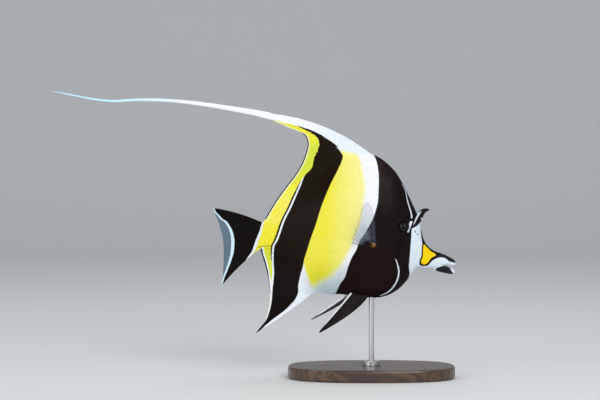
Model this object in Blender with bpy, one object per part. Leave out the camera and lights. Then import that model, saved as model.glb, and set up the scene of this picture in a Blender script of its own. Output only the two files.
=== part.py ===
"""Moorish idol fish, a still life-size model held on a plain display stand.

The fish is drawn in its own frame, in millimetres: x runs forward from the root of the
tail fin, z runs up, y = 0 is the middle plane and the fish's right side is at -y.
Every fish node hangs under one empty, which carries that frame onto the stand. The
row's origin is the middle of the stand's underside, with the fish facing +X.
"""

import math

import bmesh
import bpy
import numpy as np

MM = 0.001
GAP = 0.3  # kept between nodes that touch

# Where the fish frame sits over the stand
FISH_AHEAD = 87.0  # the rod's place on the fish's x axis, over the stand's middle
FISH_LIFT = 102.0  # height of the fish's axis above the floor

# Ribs of the body from lip to tail root. Each is a slice between a point on the back
# line and one on the belly line, with its widest half width, the half width left at
# each edge, and how the side closes towards each edge: about 0.5 rounds it like an
# egg, and over 1 fades it into a fin.
RIBS = np.array([
    # back x, z    belly x, z   half  back  belly  back  belly
    #                           width edge  edge   close close
    (149.4, -16.3, 149.2, -17.9, 0.8, 0.40, 0.40, 0.50, 0.50),
    (148.7, -15.2, 148.1, -18.7, 2.1, 0.50, 0.50, 0.50, 0.50),
    (146.8, -13.8, 146.0, -18.9, 2.8, 0.50, 0.50, 0.50, 0.50),
    (143.5, -11.9, 142.5, -18.4, 2.3, 0.50, 0.50, 0.50, 0.50),
    (138.5, -9.8, 137.8, -19.3, 2.9, 0.50, 0.50, 0.50, 0.50),
    (133.6, -8.1, 133.0, -20.7, 3.6, 0.50, 0.50, 0.50, 0.50),
    (129.2, -4.9, 127.5, -20.8, 4.5, 0.50, 0.50, 0.50, 0.50),
    (126.2, -0.8, 122.6, -20.6, 5.4, 0.50, 0.50, 0.50, 0.50),
    (124.4, 4.5, 119.4, -21.5, 6.3, 0.50, 0.50, 0.50, 0.50),
    (123.0, 11.0, 117.2, -24.2, 7.1, 0.50, 0.50, 0.50, 0.50),
    (120.9, 18.5, 115.0, -27.4, 8.0, 0.50, 0.50, 0.50, 0.52),
    (117.7, 25.8, 111.8, -31.6, 9.0, 0.50, 0.50, 0.50, 0.55),
    (114.0, 33.8, 107.5, -35.9, 10.0, 0.50, 0.50, 0.52, 0.55),
    (109.8, 42.3, 102.6, -39.2, 11.2, 0.50, 0.50, 0.55, 0.55),
    (105.0, 50.0, 97.5, -41.4, 12.2, 0.60, 0.50, 0.62, 0.55),
    (98.5, 56.8, 91.5, -42.6, 12.9, 0.80, 0.50, 0.75, 0.55),
    (90.5, 62.3, 84.0, -42.6, 13.2, 1.00, 0.50, 1.00, 0.55),
    (80.5, 64.4, 75.0, -41.4, 13.0, 1.10, 0.60, 1.25, 0.58),
    (69.0, 61.6, 65.5, -40.2, 12.4, 1.10, 0.70, 1.35, 0.62),
    (56.0, 54.6, 55.5, -39.8, 11.2, 1.10, 0.90, 1.35, 0.80),
    (44.0, 45.8, 45.5, -38.6, 9.6, 1.10, 1.10, 1.35, 1.10),
    (33.0, 36.0, 36.0, -33.4, 8.0, 1.10, 1.10, 1.30, 1.25),
    (23.5, 26.4, 26.5, -24.6, 6.5, 1.10, 1.10, 1.20, 1.20),
    (15.5, 19.2, 17.5, -15.2, 5.2, 1.05, 1.05, 0.90, 0.90),
    (10.0, 15.2, 10.8, -8.6, 4.3, 0.90, 0.90, 0.60, 0.60),
    (6.7, 13.5, 6.2, -6.0, 3.4, 0.80, 0.80, 0.50, 0.50),
    (4.9, 12.6, 2.6, -6.8, 2.5, 0.80, 0.80, 0.50, 0.50),
])
FULLNESS = 2.4  # how flat the flanks are; 2 would be an ellipse
BODY_SLICES = 48
BODY_SIDE_POINTS = 15

# Lower jaw, in ribs like the body's; its rear end meets the snout's underside
JAW_RIBS = np.array([
    (133.4, -17.6, 132.2, -20.6, 1.2, 0.50, 0.50, 0.50, 0.50),
    (136.2, -18.0, 135.0, -22.6, 2.2, 0.50, 0.50, 0.50, 0.50),
    (139.8, -18.6, 139.0, -23.9, 2.3, 0.50, 0.50, 0.50, 0.50),
    (143.0, -19.6, 142.4, -24.6, 2.2, 0.50, 0.50, 0.50, 0.50),
    (145.8, -20.8, 145.5, -25.1, 2.4, 0.50, 0.50, 0.50, 0.50),
    (147.7, -21.7, 147.5, -24.9, 2.1, 0.50, 0.50, 0.50, 0.50),
    (148.5, -22.5, 148.4, -24.1, 1.0, 0.40, 0.40, 0.50, 0.50),
])
JAW_SLICES = 13
JAW_SIDE_POINTS = 7

# Lines on the side of the body, as (x, z), along which it is parted into nodes
GILL_OPENING = [
    (107.5, 58.0), (102.5, 51.0), (97.0, 36.0), (93.5, 20.0), (91.8, 8.0), (92.3, -1.0),
    (98.0, -6.6), (104.0, -11.8), (106.3, -16.5), (106.4, -23.0), (103.6, -31.4),
    (98.0, -38.0), (91.0, -43.0), (88.0, -45.5),
]
GILL_COVER_FRONT = [
    (92.1, 12.0), (97.5, 14.2), (102.5, 12.8), (106.6, 7.0), (108.6, -1.0),
    (108.6, -8.0), (106.2, -12.4), (104.2, -12.0),
]
SNOUT_ROOT = [(131.5, 0.5), (126.8, -4.5), (123.8, -11.0), (122.0, -18.0), (121.0, -24.0)]
TAIL_STALK_FRONT = [
    (36.5, 43.5), (31.8, 35.7), (26.6, 23.8), (21.6, 13.2), (18.4, 2.7), (16.2, -5.3),
    (15.4, -15.8), (15.2, -24.0),
]
MIDDLE_OF_COVERS = [(80.0, 0.0), (100.0, 0.0), (120.0, 0.0)]
CUT_REACH = 40.0  # how far each side of the middle plane a parting cut runs
GILL_LIFT = 0.8  # how far the free edge over the gill opening stands over the flank
GILL_LIFT_FADE = 7.0  # the width over which that lift dies away
GILL_LIFT_HEIGHTS = ((-40.0, 0), (-32.0, 1), (10.0, 1), (16.0, 0))

# Eyes, nostrils and horns
EYE_AT = (110.3, 10.2)
EYE_RADIUS = 4.2
EYE_FLATNESS = 0.6
EYE_SINK = 1.5  # how deep the eye's middle lies under the skin
EYE_MESH = (18, 10)  # meridians and rings
NOSTRILS = [(119.0, 6.6), (120.9, 4.4)]
NOSTRIL_RADIUS = 0.75
NOSTRIL_DEPTH = 1.4
NOSTRIL_MESH = (8, 6)

# The horn's path from root to tip: x, distance from the middle plane, z and radius
HORN_PATH = np.array([
    (115.3, 7.9, 6.9, 0.4),
    (116.6, 7.5, 9.5, 1.0),
    (118.8, 6.7, 11.9, 1.6),
    (120.4, 6.1, 14.0, 2.1),
    (122.4, 6.5, 17.6, 2.25),
    (124.4, 7.3, 20.7, 1.7),
    (127.0, 8.1, 22.3, 0.9),
    (129.5, 8.7, 22.8, 0.25),
])
HORN_FLATNESS = 0.62
HORN_RINGS = 11
HORN_SIDES = 10

# Dorsal fin: its free edge from the streamer's root round to the tail stalk
DORSAL_BASE_RIBS = (16.0, 25.0)  # the ribs between which the fin stands on the back
DORSAL_MARGIN = [
    (14.8, 93.3), (14.0, 89.0), (20.0, 86.0), (26.8, 82.8), (33.3, 80.2), (37.9, 77.0),
    (39.7, 71.6), (38.7, 65.8), (35.7, 57.3), (30.6, 48.6), (23.6, 39.4), (15.6, 28.2),
    (8.3, 15.9),
]
DORSAL_BOW = [(0.0, 6.1), (0.2, 5.0), (0.42, 1.0), (1.0, 0.0)]
DORSAL_SPLIT = 0.42  # where along the fin its long front rays end and the short ones start
DORSAL_RUN = 100.0  # about how long the fin's root is
DORSAL_RAYS = {"front": 14, "rear": 24}
DORSAL_ROWS = {"front": 13, "rear": 8}

# Streamer, the long soft third spine: (x, z, height, thickness) along it
STREAMER = np.array([
    (13.9, 91.1, 4.7, 1.50),
    (-0.5, 94.5, 4.3, 1.45),
    (-15.6, 97.1, 3.7, 1.40),
    (-31.0, 99.6, 3.2, 1.35),
    (-47.4, 101.8, 2.8, 1.30),
    (-67.0, 103.5, 2.3, 1.20),
    (-85.7, 103.8, 2.0, 1.10),
    (-105.4, 102.9, 1.7, 1.00),
    (-118.0, 104.2, 1.4, 0.90),
    (-130.3, 106.5, 1.1, 0.80),
    (-141.0, 108.6, 0.8, 0.65),
    (-149.0, 110.1, 0.4, 0.35),
])
STREAMER_RUN = 168.0  # about how long it is
STREAMER_PARTS = 3
STREAMER_RINGS = 16
STREAMER_SIDES = 8

# Anal fin
ANAL_BASE_RIBS = (19.9, 25.0)
ANAL_MARGIN = [
    (0.7, -69.8), (4.3, -65.4), (7.2, -61.8), (8.9, -58.2), (10.5, -51.8), (11.6, -44.0),
    (11.6, -37.0), (10.9, -31.0), (9.6, -24.5), (7.6, -17.2), (5.7, -10.9), (4.8, -7.6),
]
ANAL_BOW = [(0.0, -0.9), (0.3, -0.8), (1.0, 0.0)]
ANAL_RAYS = 25
ANAL_ROWS = 8

# Tail fin
TAIL_MARGIN = [
    (-30.8, 23.6), (-28.2, 17.0), (-25.4, 9.0), (-23.3, 0.3), (-22.8, -8.9),
    (-23.0, -20.0), (-23.6, -28.5), (-24.3, -34.5),
]
TAIL_BOW = [(0.0, 1.4), (0.3, 0.7), (0.5, 0.0), (1.0, 1.2)]
TAIL_RAYS = 16
TAIL_ROWS = 8
TAIL_ROOT_HALF = (0.75, 2.05)  # half thickness where it meets the stalk, at edge and middle

# Pectoral fins, raised and spread: base line, then free edge from the leading ray round
PECTORAL_BASE = [(89.2, -4.8), (86.4, -3.3), (83.4, -2.2)]
PECTORAL_MARGIN = [
    (87.0, 23.0), (85.2, 26.8), (82.7, 28.6), (79.6, 25.6), (77.6, 18.8), (75.2, 11.4),
    (73.0, 4.4), (72.0, -2.0),
]
PECTORAL_BOW = [(0.0, 1.0), (1.0, -0.8)]
PECTORAL_SINK = 1.8
PECTORAL_FLARE = 1.05  # distance stood out from the flank is this times reach ** 0.8
PECTORAL_FLARE_POWER = 0.8
PECTORAL_SLANT = 1.3  # its plates are measured sideways, so they are made this much thicker
PECTORAL_RAYS = 14
PECTORAL_ROWS = 8

# Pelvic fins: the right one in place; the left one is turned back a little and twisted
# round one of its rays until it stands almost edge-on to the side view
PELVIC_BASE = [(86.5, -36.0), (80.2, -35.6), (74.5, -35.0)]
PELVIC_MARGIN = [(48.3, -68.2), (48.1, -67.6), (48.5, -66.7)]
PELVIC_BOW = [(0.0, -4.4), (1.0, -0.1)]
PELVIC_LEAD = 0.18  # how far along each ray its bow is strongest
PELVIC_OFF_MIDDLE = 1.9
PELVIC_SPLAY = math.radians(9)
PELVIC_TURN = {"right": 0.0, "left": math.radians(12)}
PELVIC_TWIST = {"right": 0.0, "left": math.radians(66)}
PELVIC_TWIST_END = 0.45  # share of the length by which the twist is complete
PELVIC_AXIS = 10  # column of the grid round which it twists
PELVIC_RAYS = 6
PELVIC_ROWS = 10

# Fin make-up
FIN_SINK = 1.6  # how far a fin's root runs inside the body before it is trimmed
ROOT_HALF = 1.1  # half the thickness of a median fin where it meets the body
PAIRED_ROOT_HALF = 0.9
ROOT_FADE = 0.35  # the share of its height over which a fin thins to its membrane
MEMBRANE_HALF = 0.32
MARGIN_HALF = 0.25
RAY_RISE = 0.32  # how far each ray stands over the membrane near the root
RAY_START = 0.15  # the share of the fin's height over which the rays rise
RAY_FADE = 0.75  # the share of that rise lost by the margin

# The tail end swings sideways in a slow wave, and the streamer follows it
SWING_FROM = 60.0
SWING_LENGTH = 90.0
SWING = 8.0

# Stand
BASE_LENGTH = 124.0
BASE_WIDTH = 78.0
BASE_HEIGHT = 9.0
BASE_BEVEL = 1.6
BASE_SQUARENESS = 2.6
BASE_SIDES = 40
ROD_RADIUS = 2.0
ROD_SOCKET_DEPTH = 9.0
ROD_SEAT_DEPTH = 6.0
ROD_RIB = 15.6  # the rib whose belly the rod enters
HOLE_BOTTOM = -60.0  # in the fish's frame, clear of the belly
COLLAR_RADIUS = 6.5
COLLAR_HEIGHT = 3.5
TURNED_SIDES = 24

# Red, green, blue, roughness and metallic value of each finish
FINISHES = {
    "black": (0.012, 0.009, 0.008, 0.45, 0.0),
    "white": (0.80, 0.82, 0.84, 0.45, 0.0),
    "yellow": (0.85, 0.72, 0.06, 0.45, 0.0),
    "clear": (0.60, 0.62, 0.66, 0.40, 0.0),
    "eye": (0.010, 0.008, 0.008, 0.10, 0.0),
    "wood": (0.060, 0.028, 0.014, 0.40, 0.0),
    "steel": (0.56, 0.56, 0.58, 0.30, 1.0),
}
WEARS = {
    "snout": "white", "trunk": "yellow", "tail_stalk": "yellow", "dorsal_fin_rear": "yellow",
    "dorsal_fin_front": "white", "dorsal_streamer": "white", "pectoral_fin": "clear",
    "eye": "eye", "stand_base": "wood", "stand_rod": "steel", "stand_collar": "steel",
}
SMOOTH_UNDER = math.radians(32)


def cubic(knots, values, at):
    """Values at the places `at` on a smooth cubic through `values` at `knots`."""
    knots = np.asarray(knots, float)
    values = np.asarray(values, float)
    step = np.diff(knots)[:, None]
    slope = np.diff(values, axis=0) / step
    tangent = np.empty_like(values)
    tangent[0], tangent[-1] = slope[0], slope[-1]
    tangent[1:-1] = (slope[:-1] * step[1:] + slope[1:] * step[:-1]) / (step[1:] + step[:-1])
    i = np.clip(np.searchsorted(knots, at, side="right") - 1, 0, len(knots) - 2)
    h = step[i]
    t = ((at - knots[i]) / h[:, 0])[:, None]
    return (
        values[i] * (1 + 2 * t) * (1 - t) ** 2
        + tangent[i] * h * t * (1 - t) ** 2
        + values[i + 1] * t * t * (3 - 2 * t)
        + tangent[i + 1] * h * t * t * (t - 1)
    )


def lengths_along(points):
    """Distance travelled at each point, as a share of the whole."""
    steps = np.linalg.norm(np.diff(points, axis=0), axis=1)
    travelled = np.concatenate([[0.0], np.cumsum(steps)])
    return travelled / travelled[-1]


def curve(points, at):
    """Points at the shares `at` of the length of a smooth curve through `points`."""
    points = np.asarray(points, float)
    return cubic(lengths_along(points), points, np.asarray(at, float))


def table(pairs, at):
    """A value that varies along a line, read from (place, value) pairs."""
    places, values = np.array(pairs, float).T
    return np.interp(at, places, values)


def unit(vectors):
    return vectors / np.linalg.norm(vectors, axis=-1, keepdims=True)


def turned(vectors):
    """Flat vectors (x, z) turned a quarter turn to the right."""
    return np.stack([vectors[..., 1], -vectors[..., 0]], axis=-1)


def link(name, mesh):
    obj = bpy.data.objects.new(name, mesh)
    bpy.context.scene.collection.objects.link(obj)
    return obj


def new_object(name, points, faces):
    """An object from points in millimetres, with its faces made to point out."""
    mesh = bpy.data.meshes.new(name)
    mesh.from_pydata((np.asarray(points) * MM).tolist(), [], [list(f) for f in faces])
    build = bmesh.new()
    build.from_mesh(mesh)
    bmesh.ops.recalc_face_normals(build, faces=build.faces)
    build.to_mesh(mesh)
    build.free()
    return link(name, mesh)


def points_of(obj):
    """The mesh's points in millimetres."""
    flat = np.empty(len(obj.data.vertices) * 3, np.float32)
    obj.data.vertices.foreach_get("co", flat)
    return flat.reshape(-1, 3).astype(float) / MM


def set_points(obj, points):
    obj.data.vertices.foreach_set("co", (points * MM).astype(np.float32).ravel())
    obj.data.update()


def delete(obj):
    bpy.data.objects.remove(obj, do_unlink=True)


def settle(obj):
    """Writes what the object's modifiers give into its own mesh."""
    graph = bpy.context.evaluated_depsgraph_get()
    obj.data = bpy.data.meshes.new_from_object(obj.evaluated_get(graph))
    obj.modifiers.clear()
    return obj


def cut(obj, cutter):
    """Takes the cutter's shape out of obj and deletes the cutter."""
    modifier = obj.modifiers.new("cut", "BOOLEAN")
    modifier.operation = "DIFFERENCE"
    modifier.solver = "EXACT"
    modifier.object = cutter
    settle(obj)
    delete(cutter)
    return obj


def loose_parts(mesh):
    """The faces of each closed surface of a mesh, the one with most faces first."""
    build = bmesh.new()
    build.from_mesh(mesh)
    build.faces.ensure_lookup_table()
    seen, parts = set(), []
    for first in build.faces:
        if first.index in seen:
            continue
        part, front = [], [first]
        seen.add(first.index)
        while front:
            face = front.pop()
            part.append(face.index)
            for edge in face.edges:
                for near in edge.link_faces:
                    if near.index not in seen:
                        seen.add(near.index)
                        front.append(near)
        parts.append(part)
    build.free()
    return sorted(parts, key=len, reverse=True)


def split_off(obj, name, faces):
    """A new object made of some of obj's faces."""
    build = bmesh.new()
    build.from_mesh(obj.data)
    build.faces.ensure_lookup_table()
    keep = set(faces)
    others = [f for f in build.faces if f.index not in keep]
    bmesh.ops.delete(build, geom=others, context="FACES")
    mesh = bpy.data.meshes.new(name)
    build.to_mesh(mesh)
    build.free()
    return link(name, mesh)


def keep_largest(obj):
    """Drops every closed surface of obj but its largest."""
    parts = loose_parts(obj.data)
    if len(parts) == 1:
        return obj
    name = obj.name
    largest = split_off(obj, "largest", parts[0])
    delete(obj)
    largest.name = name
    return largest


def grown(obj, by):
    """A copy of obj, larger by a distance all round, to trim what touches it."""
    copy = link(obj.name, obj.data.copy())
    normals = np.array([v.normal for v in copy.data.vertices])
    set_points(copy, points_of(copy) + normals * by)
    return copy


def trimmed(obj, core):
    """Cuts a piece back so that it meets the body with a gap, and drops its root."""
    return keep_largest(cut(obj, grown(core, GAP)))


def tube(name, rings):
    """A closed body from rings of points, (rings, points around, 3), with flat ends."""
    count, around = rings.shape[:2]
    faces = [
        (i + j, i + (j + 1) % around, i + around + (j + 1) % around, i + around + j)
        for i in range(0, (count - 1) * around, around)
        for j in range(around)
    ]
    faces += [range(around), range((count - 1) * around, count * around)]
    return new_object(name, rings.reshape(-1, 3), faces)


def prism(name, outline, bottom, top):
    """An upright block of an outline of (x, y) points between two heights."""
    outline = np.asarray(outline, float)
    flat = [np.column_stack([outline, np.full(len(outline), z)]) for z in (bottom, top)]
    return tube(name, np.array(flat))


def circle(radius, sides):
    turn = np.arange(sides) * 2 * math.pi / sides
    return np.stack([np.cos(turn), np.sin(turn)], axis=1) * radius


def ellipsoid(name, centre, axes, segments, rings):
    build = bmesh.new()
    bmesh.ops.create_uvsphere(build, u_segments=segments, v_segments=rings, radius=1)
    points = np.array([v.co for v in build.verts]) * axes + centre
    faces = [[v.index for v in f.verts] for f in build.faces]
    build.free()
    return new_object(name, points, faces)


def wall(name, line, thickness, reach):
    """A thin upright wall along a line on the body's side, right through it."""
    line = curve(line, np.linspace(0, 1, 3 * len(line)))
    across = turned(unit(np.gradient(line, axis=0))) * thickness / 2
    outline = np.concatenate([line + across, (line - across)[::-1]])
    count = len(outline)
    points = [(x, y, z) for y in (-reach, reach) for x, z in outline]
    faces = [(i, (i + 1) % count, count + (i + 1) % count, count + i) for i in range(count)]
    for side in (0, count):
        faces += [
            (side + i, side + i + 1, side + count - 2 - i, side + count - 1 - i)
            for i in range(count // 2 - 1)
        ]
    return new_object(name, points, faces)


def ribs_at(ribs, at):
    """The ribs' values at places counted in ribs from the first."""
    middles = (ribs[:, 0:2] + ribs[:, 2:4]) / 2
    knots = lengths_along(middles)
    places = np.interp(at, np.arange(len(ribs)), knots)
    return cubic(knots, ribs, places)


def side_width(rows, across):
    """Half width of the body at a share `across`, -1 at the belly and 1 at the back."""
    share = (across + 1) / 2
    half, back_edge, belly_edge, back_close, belly_close = rows.T[4:, :, None]
    edge = belly_edge + (back_edge - belly_edge) * share
    close = belly_close + (back_close - belly_close) * share
    return edge + (half - edge) * (1 - np.abs(across) ** FULLNESS) ** close


def loft(name, ribs, slices, side_points):
    """A closed body through ribs: each slice is a ring up the right side, down the left."""
    rows = ribs_at(ribs, np.linspace(0, len(ribs) - 1, slices))
    across = -np.cos(np.linspace(0, math.pi, side_points))[None, :]
    width = side_width(rows, across)
    share = (across + 1) / 2
    x = rows[:, 2:3] + (rows[:, 0:1] - rows[:, 2:3]) * share
    z = rows[:, 3:4] + (rows[:, 1:2] - rows[:, 3:4]) * share
    right = np.stack([x, -width, z], axis=2)
    left = np.stack([x, width, z], axis=2)[:, ::-1]
    return tube(name, np.concatenate([right, left], axis=1))


def width_at(x, z):
    """Half width of the body where the side view shows the point (x, z)."""
    rows = ribs_at(RIBS, np.linspace(0, len(RIBS) - 1, 800))
    belly = rows[:, 2:4]
    up = rows[:, 0:2] - belly
    share = ((np.array([x, z]) - belly) * up).sum(axis=1) / (up**2).sum(axis=1)
    off = np.linalg.norm(belly + up * share[:, None] - (x, z), axis=1)
    off[(share < 0) | (share > 1)] = np.inf
    near = off.argmin()
    return side_width(rows[near : near + 1], np.array([[2 * share[near] - 1]]))[0, 0]


def fin_solid(name, centre, half, normal=(0.0, 1.0, 0.0)):
    """A closed plate from its middle surface (columns, rows, 3) and its half thickness.

    Both faces are split into triangles alike, so that a thin plate never crosses itself.
    """
    columns, rows = half.shape
    offset = half[:, :, None] * np.asarray(normal)
    points = np.concatenate([(centre - offset).reshape(-1, 3), (centre + offset).reshape(-1, 3)])
    far = columns * rows
    faces = []
    for i in range(columns - 1):
        for j in range(rows - 1):
            a = i * rows + j
            b, c, d = a + rows, a + rows + 1, a + 1
            faces += [(a, b, c), (a, c, d)]
            faces += [(far + a, far + c, far + b), (far + a, far + d, far + c)]
    edge = [i * rows for i in range(columns)]
    edge += [(columns - 1) * rows + j for j in range(1, rows)]
    edge += [i * rows + rows - 1 for i in range(columns - 2, -1, -1)]
    edge += list(range(rows - 2, 0, -1))
    for a, b in zip(edge, edge[1:] + edge[:1]):
        faces += [(a, far + a, far + b), (a, far + b, b)]
    return new_object(name, points, faces)


def fin_grid(root, margin, bow, span, rays, rows, lead=0.5):
    """Middle surface of a fin from its root line to its free edge, (x, z) per point.

    Rays run from root to margin at equal shares of their lengths, each bowed sideways
    by a distance read from the bow table, most at the lead. Odd columns lie on rays.
    """
    at = np.linspace(span[0], span[1], 2 * rays + 1)
    roots, tips = root(at), curve(margin, at)
    bent = turned(unit(tips - roots)) * 2 * table(bow, at)[:, None]
    control = roots * (1 - lead) + tips * lead + bent
    v = np.linspace(0, 1, rows)[None, :, None]
    start, middle, end = roots[:, None], control[:, None], tips[:, None]
    return start * (1 - v) ** 2 + middle * 2 * v * (1 - v) + end * v**2


def fin_half(rays, rows, root_half):
    """Half thickness: full at the root, thin over the membrane, raised along each ray."""
    v = np.linspace(0, 1, rows)[None, :]
    root = np.clip(1 - v / ROOT_FADE, 0, 1) ** 1.5
    plate = MEMBRANE_HALF + (root_half - MEMBRANE_HALF) * root
    plate = plate + (MARGIN_HALF - MEMBRANE_HALF) * v**3
    on_ray = (np.arange(2 * rays + 1) % 2)[:, None]
    return plate + on_ray * RAY_RISE * np.clip(v / RAY_START, 0, 1) * (1 - RAY_FADE * v)


def upright(grid, y=0.0):
    """A fin's grid of (x, z) set up as points at a distance y from the middle plane."""
    return np.stack([grid[..., 0], np.broadcast_to(y, grid.shape[:2]), grid[..., 1]], axis=2)


def sunk_edge(span, on_back):
    """The root line of a fin along the body's back or belly, sunk a little inside it."""
    rows = ribs_at(RIBS, np.linspace(span[0], span[1], 200))
    back, belly = rows[:, 0:2], rows[:, 2:4]
    edge, other = (back, belly) if on_back else (belly, back)
    line = edge + unit(other - edge) * FIN_SINK
    return lambda at: curve(line, at)


def rod_top():
    """Top of the rod, in the fish's frame, inside its hole in the breast."""
    return ribs_at(RIBS, np.array([ROD_RIB]))[0, 3] + ROD_SOCKET_DEPTH


def eye_shape(name, side, more):
    """The eyeball, or with more the socket round it, a flattened ball under the skin."""
    centre = (EYE_AT[0], side * (width_at(*EYE_AT) - EYE_SINK), EYE_AT[1])
    axes = np.array([EYE_RADIUS, EYE_RADIUS * EYE_FLATNESS, EYE_RADIUS]) + more
    return ellipsoid(name, centre, axes, *EYE_MESH)


def make_body():
    """The whole body with its eye sockets, nostrils and rod hole, and an uncut copy."""
    body = loft("body", RIBS, BODY_SLICES, BODY_SIDE_POINTS)
    core = grown(body, 0.0)
    pit = (NOSTRIL_RADIUS, NOSTRIL_DEPTH, NOSTRIL_RADIUS)
    for side in (-1, 1):
        cut(body, eye_shape("socket", side, GAP))
        for x, z in NOSTRILS:
            centre = (x, side * width_at(x, z), z)
            cut(body, ellipsoid("pit", centre, pit, *NOSTRIL_MESH))
    hole = circle(ROD_RADIUS + GAP, TURNED_SIDES) + (FISH_AHEAD, 0)
    cut(body, prism("hole", hole, HOLE_BOTTOM, rod_top() + GAP))
    return body, core


def part_body(body):
    """Parts the body along its lines into snout, head, gill covers, trunk and stalk."""
    for line in (GILL_OPENING, GILL_COVER_FRONT, SNOUT_ROOT, TAIL_STALK_FRONT):
        cut(body, wall("cutter", line, GAP, CUT_REACH))
    pieces = [split_off(body, "piece", faces) for faces in loose_parts(body.data)[:5]]
    delete(body)
    pieces.sort(key=lambda piece: points_of(piece)[:, 0].mean())
    names = ("tail_stalk", "trunk", "gill_covers", "head", "snout")
    for name, piece in zip(names, pieces):
        piece.name = name
    return dict(zip(names, pieces))


def lift_gill_edge(piece):
    """Raises the skin towards the gill opening, so that its edge stands over the flank."""
    line = curve(GILL_OPENING, np.linspace(0, 1, 300))
    points = points_of(piece)
    off = np.linalg.norm(points[:, None, [0, 2]] - line[None], axis=2).min(axis=1)
    lift = GILL_LIFT * table(GILL_LIFT_HEIGHTS, points[:, 2])
    lift *= np.clip(1 - off / GILL_LIFT_FADE, 0, 1) ** 1.5
    points[:, 1] += np.sign(points[:, 1]) * lift
    set_points(piece, points)


def split_sides(covers):
    """Parts the block of both gill covers at the middle plane."""
    cut(covers, wall("cutter", MIDDLE_OF_COVERS, 2 * CUT_REACH, GAP / 2))
    sides = [split_off(covers, "side", faces) for faces in loose_parts(covers.data)[:2]]
    delete(covers)
    for piece in sides:
        left = points_of(piece)[:, 1].mean() > 0
        piece.name = "gill_cover_left" if left else "gill_cover_right"
    return sides


def make_horn(name, side, core):
    """A short bony horn in front of the eye: an oval section carried along a bent path."""
    path = curve(HORN_PATH, np.linspace(0, 1, HORN_RINGS))
    middle, radius = path[:, None, :3] * (1, side, 1), path[:, None, 3:]
    over = np.zeros_like(path[:, :3])
    over[:, [0, 2]] = turned(unit(np.gradient(path[:, [0, 2]], axis=0)))
    ring = circle(1.0, HORN_SIDES)
    sideways = np.array([0, HORN_FLATNESS, 0])
    section = ring[None, :, :1] * over[:, None] + ring[None, :, 1:] * sideways
    return trimmed(tube(name, middle + radius * section), core)


def make_dorsal_fin(core):
    """The dorsal fin in its long-rayed front and short-rayed rear."""
    root = sunk_edge(DORSAL_BASE_RIBS, on_back=True)
    seam = GAP / 2 / DORSAL_RUN
    spans = {"front": (0.0, DORSAL_SPLIT - seam), "rear": (DORSAL_SPLIT + seam, 1.0)}
    fins = []
    for part, span in spans.items():
        rays, rows = DORSAL_RAYS[part], DORSAL_ROWS[part]
        grid = fin_grid(root, DORSAL_MARGIN, DORSAL_BOW, span, rays, rows)
        half = fin_half(rays, rows, ROOT_HALF)
        fins.append(trimmed(fin_solid("dorsal_fin_" + part, upright(grid), half), core))
    return fins


def make_streamer(part):
    """One length of the streamer, a run of lens-shaped rings square to its path."""
    seam = GAP / 2 / STREAMER_RUN
    start = part / STREAMER_PARTS + (seam if part else 0)
    end = (part + 1) / STREAMER_PARTS - (seam if part < STREAMER_PARTS - 1 else 0)
    at = np.linspace(start, end, STREAMER_RINGS)
    knots = lengths_along(STREAMER[:, :2])
    path, sizes = np.split(cubic(knots, STREAMER, at), 2, axis=1)
    up = turned(unit(np.gradient(path, axis=0)))
    ring = circle(0.5, STREAMER_SIDES)
    flat = path[:, None] + up[:, None] * (ring[None, :, :1] * sizes[:, None, :1])
    sideways = ring[None, :, 1] * sizes[:, 1:]
    rings = np.stack([flat[..., 0], sideways, flat[..., 1]], axis=2)
    return tube(f"dorsal_streamer_{part + 1}", rings)


def make_anal_fin(core):
    root = sunk_edge(ANAL_BASE_RIBS, on_back=False)
    grid = fin_grid(root, ANAL_MARGIN, ANAL_BOW, (0.0, 1.0), ANAL_RAYS, ANAL_ROWS)
    half = fin_half(ANAL_RAYS, ANAL_ROWS, ROOT_HALF)
    return trimmed(fin_solid("anal_fin", upright(grid), half), core)


def make_tail_fin(core):
    """The tail fin, spreading from the end of the stalk."""
    root = RIBS[-1, :4].reshape(2, 2) + (FIN_SINK, 0.0)
    grid = fin_grid(
        lambda at: curve(root, at), TAIL_MARGIN, TAIL_BOW, (0.0, 1.0), TAIL_RAYS, TAIL_ROWS
    )
    across = np.linspace(-1, 1, 2 * TAIL_RAYS + 1)[:, None]
    thin, thick = TAIL_ROOT_HALF
    half = fin_half(TAIL_RAYS, TAIL_ROWS, thin + (thick - thin) * np.sqrt(1 - across**2))
    return trimmed(fin_solid("tail_fin", upright(grid), half), core)


def make_pectoral_fin(name, side, core):
    """A pectoral fin, which stands out from the flank more and more towards its edge."""
    grid = fin_grid(
        lambda at: curve(PECTORAL_BASE, at), PECTORAL_MARGIN, PECTORAL_BOW, (0.0, 1.0),
        PECTORAL_RAYS, PECTORAL_ROWS,
    )
    reach = np.linalg.norm(grid - grid[:, :1], axis=2)
    out = width_at(*PECTORAL_BASE[1]) - PECTORAL_SINK
    out = out + PECTORAL_FLARE * reach**PECTORAL_FLARE_POWER
    half = fin_half(PECTORAL_RAYS, PECTORAL_ROWS, PAIRED_ROOT_HALF) * PECTORAL_SLANT
    return trimmed(fin_solid(name, upright(grid, side * out), half), core)


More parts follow.
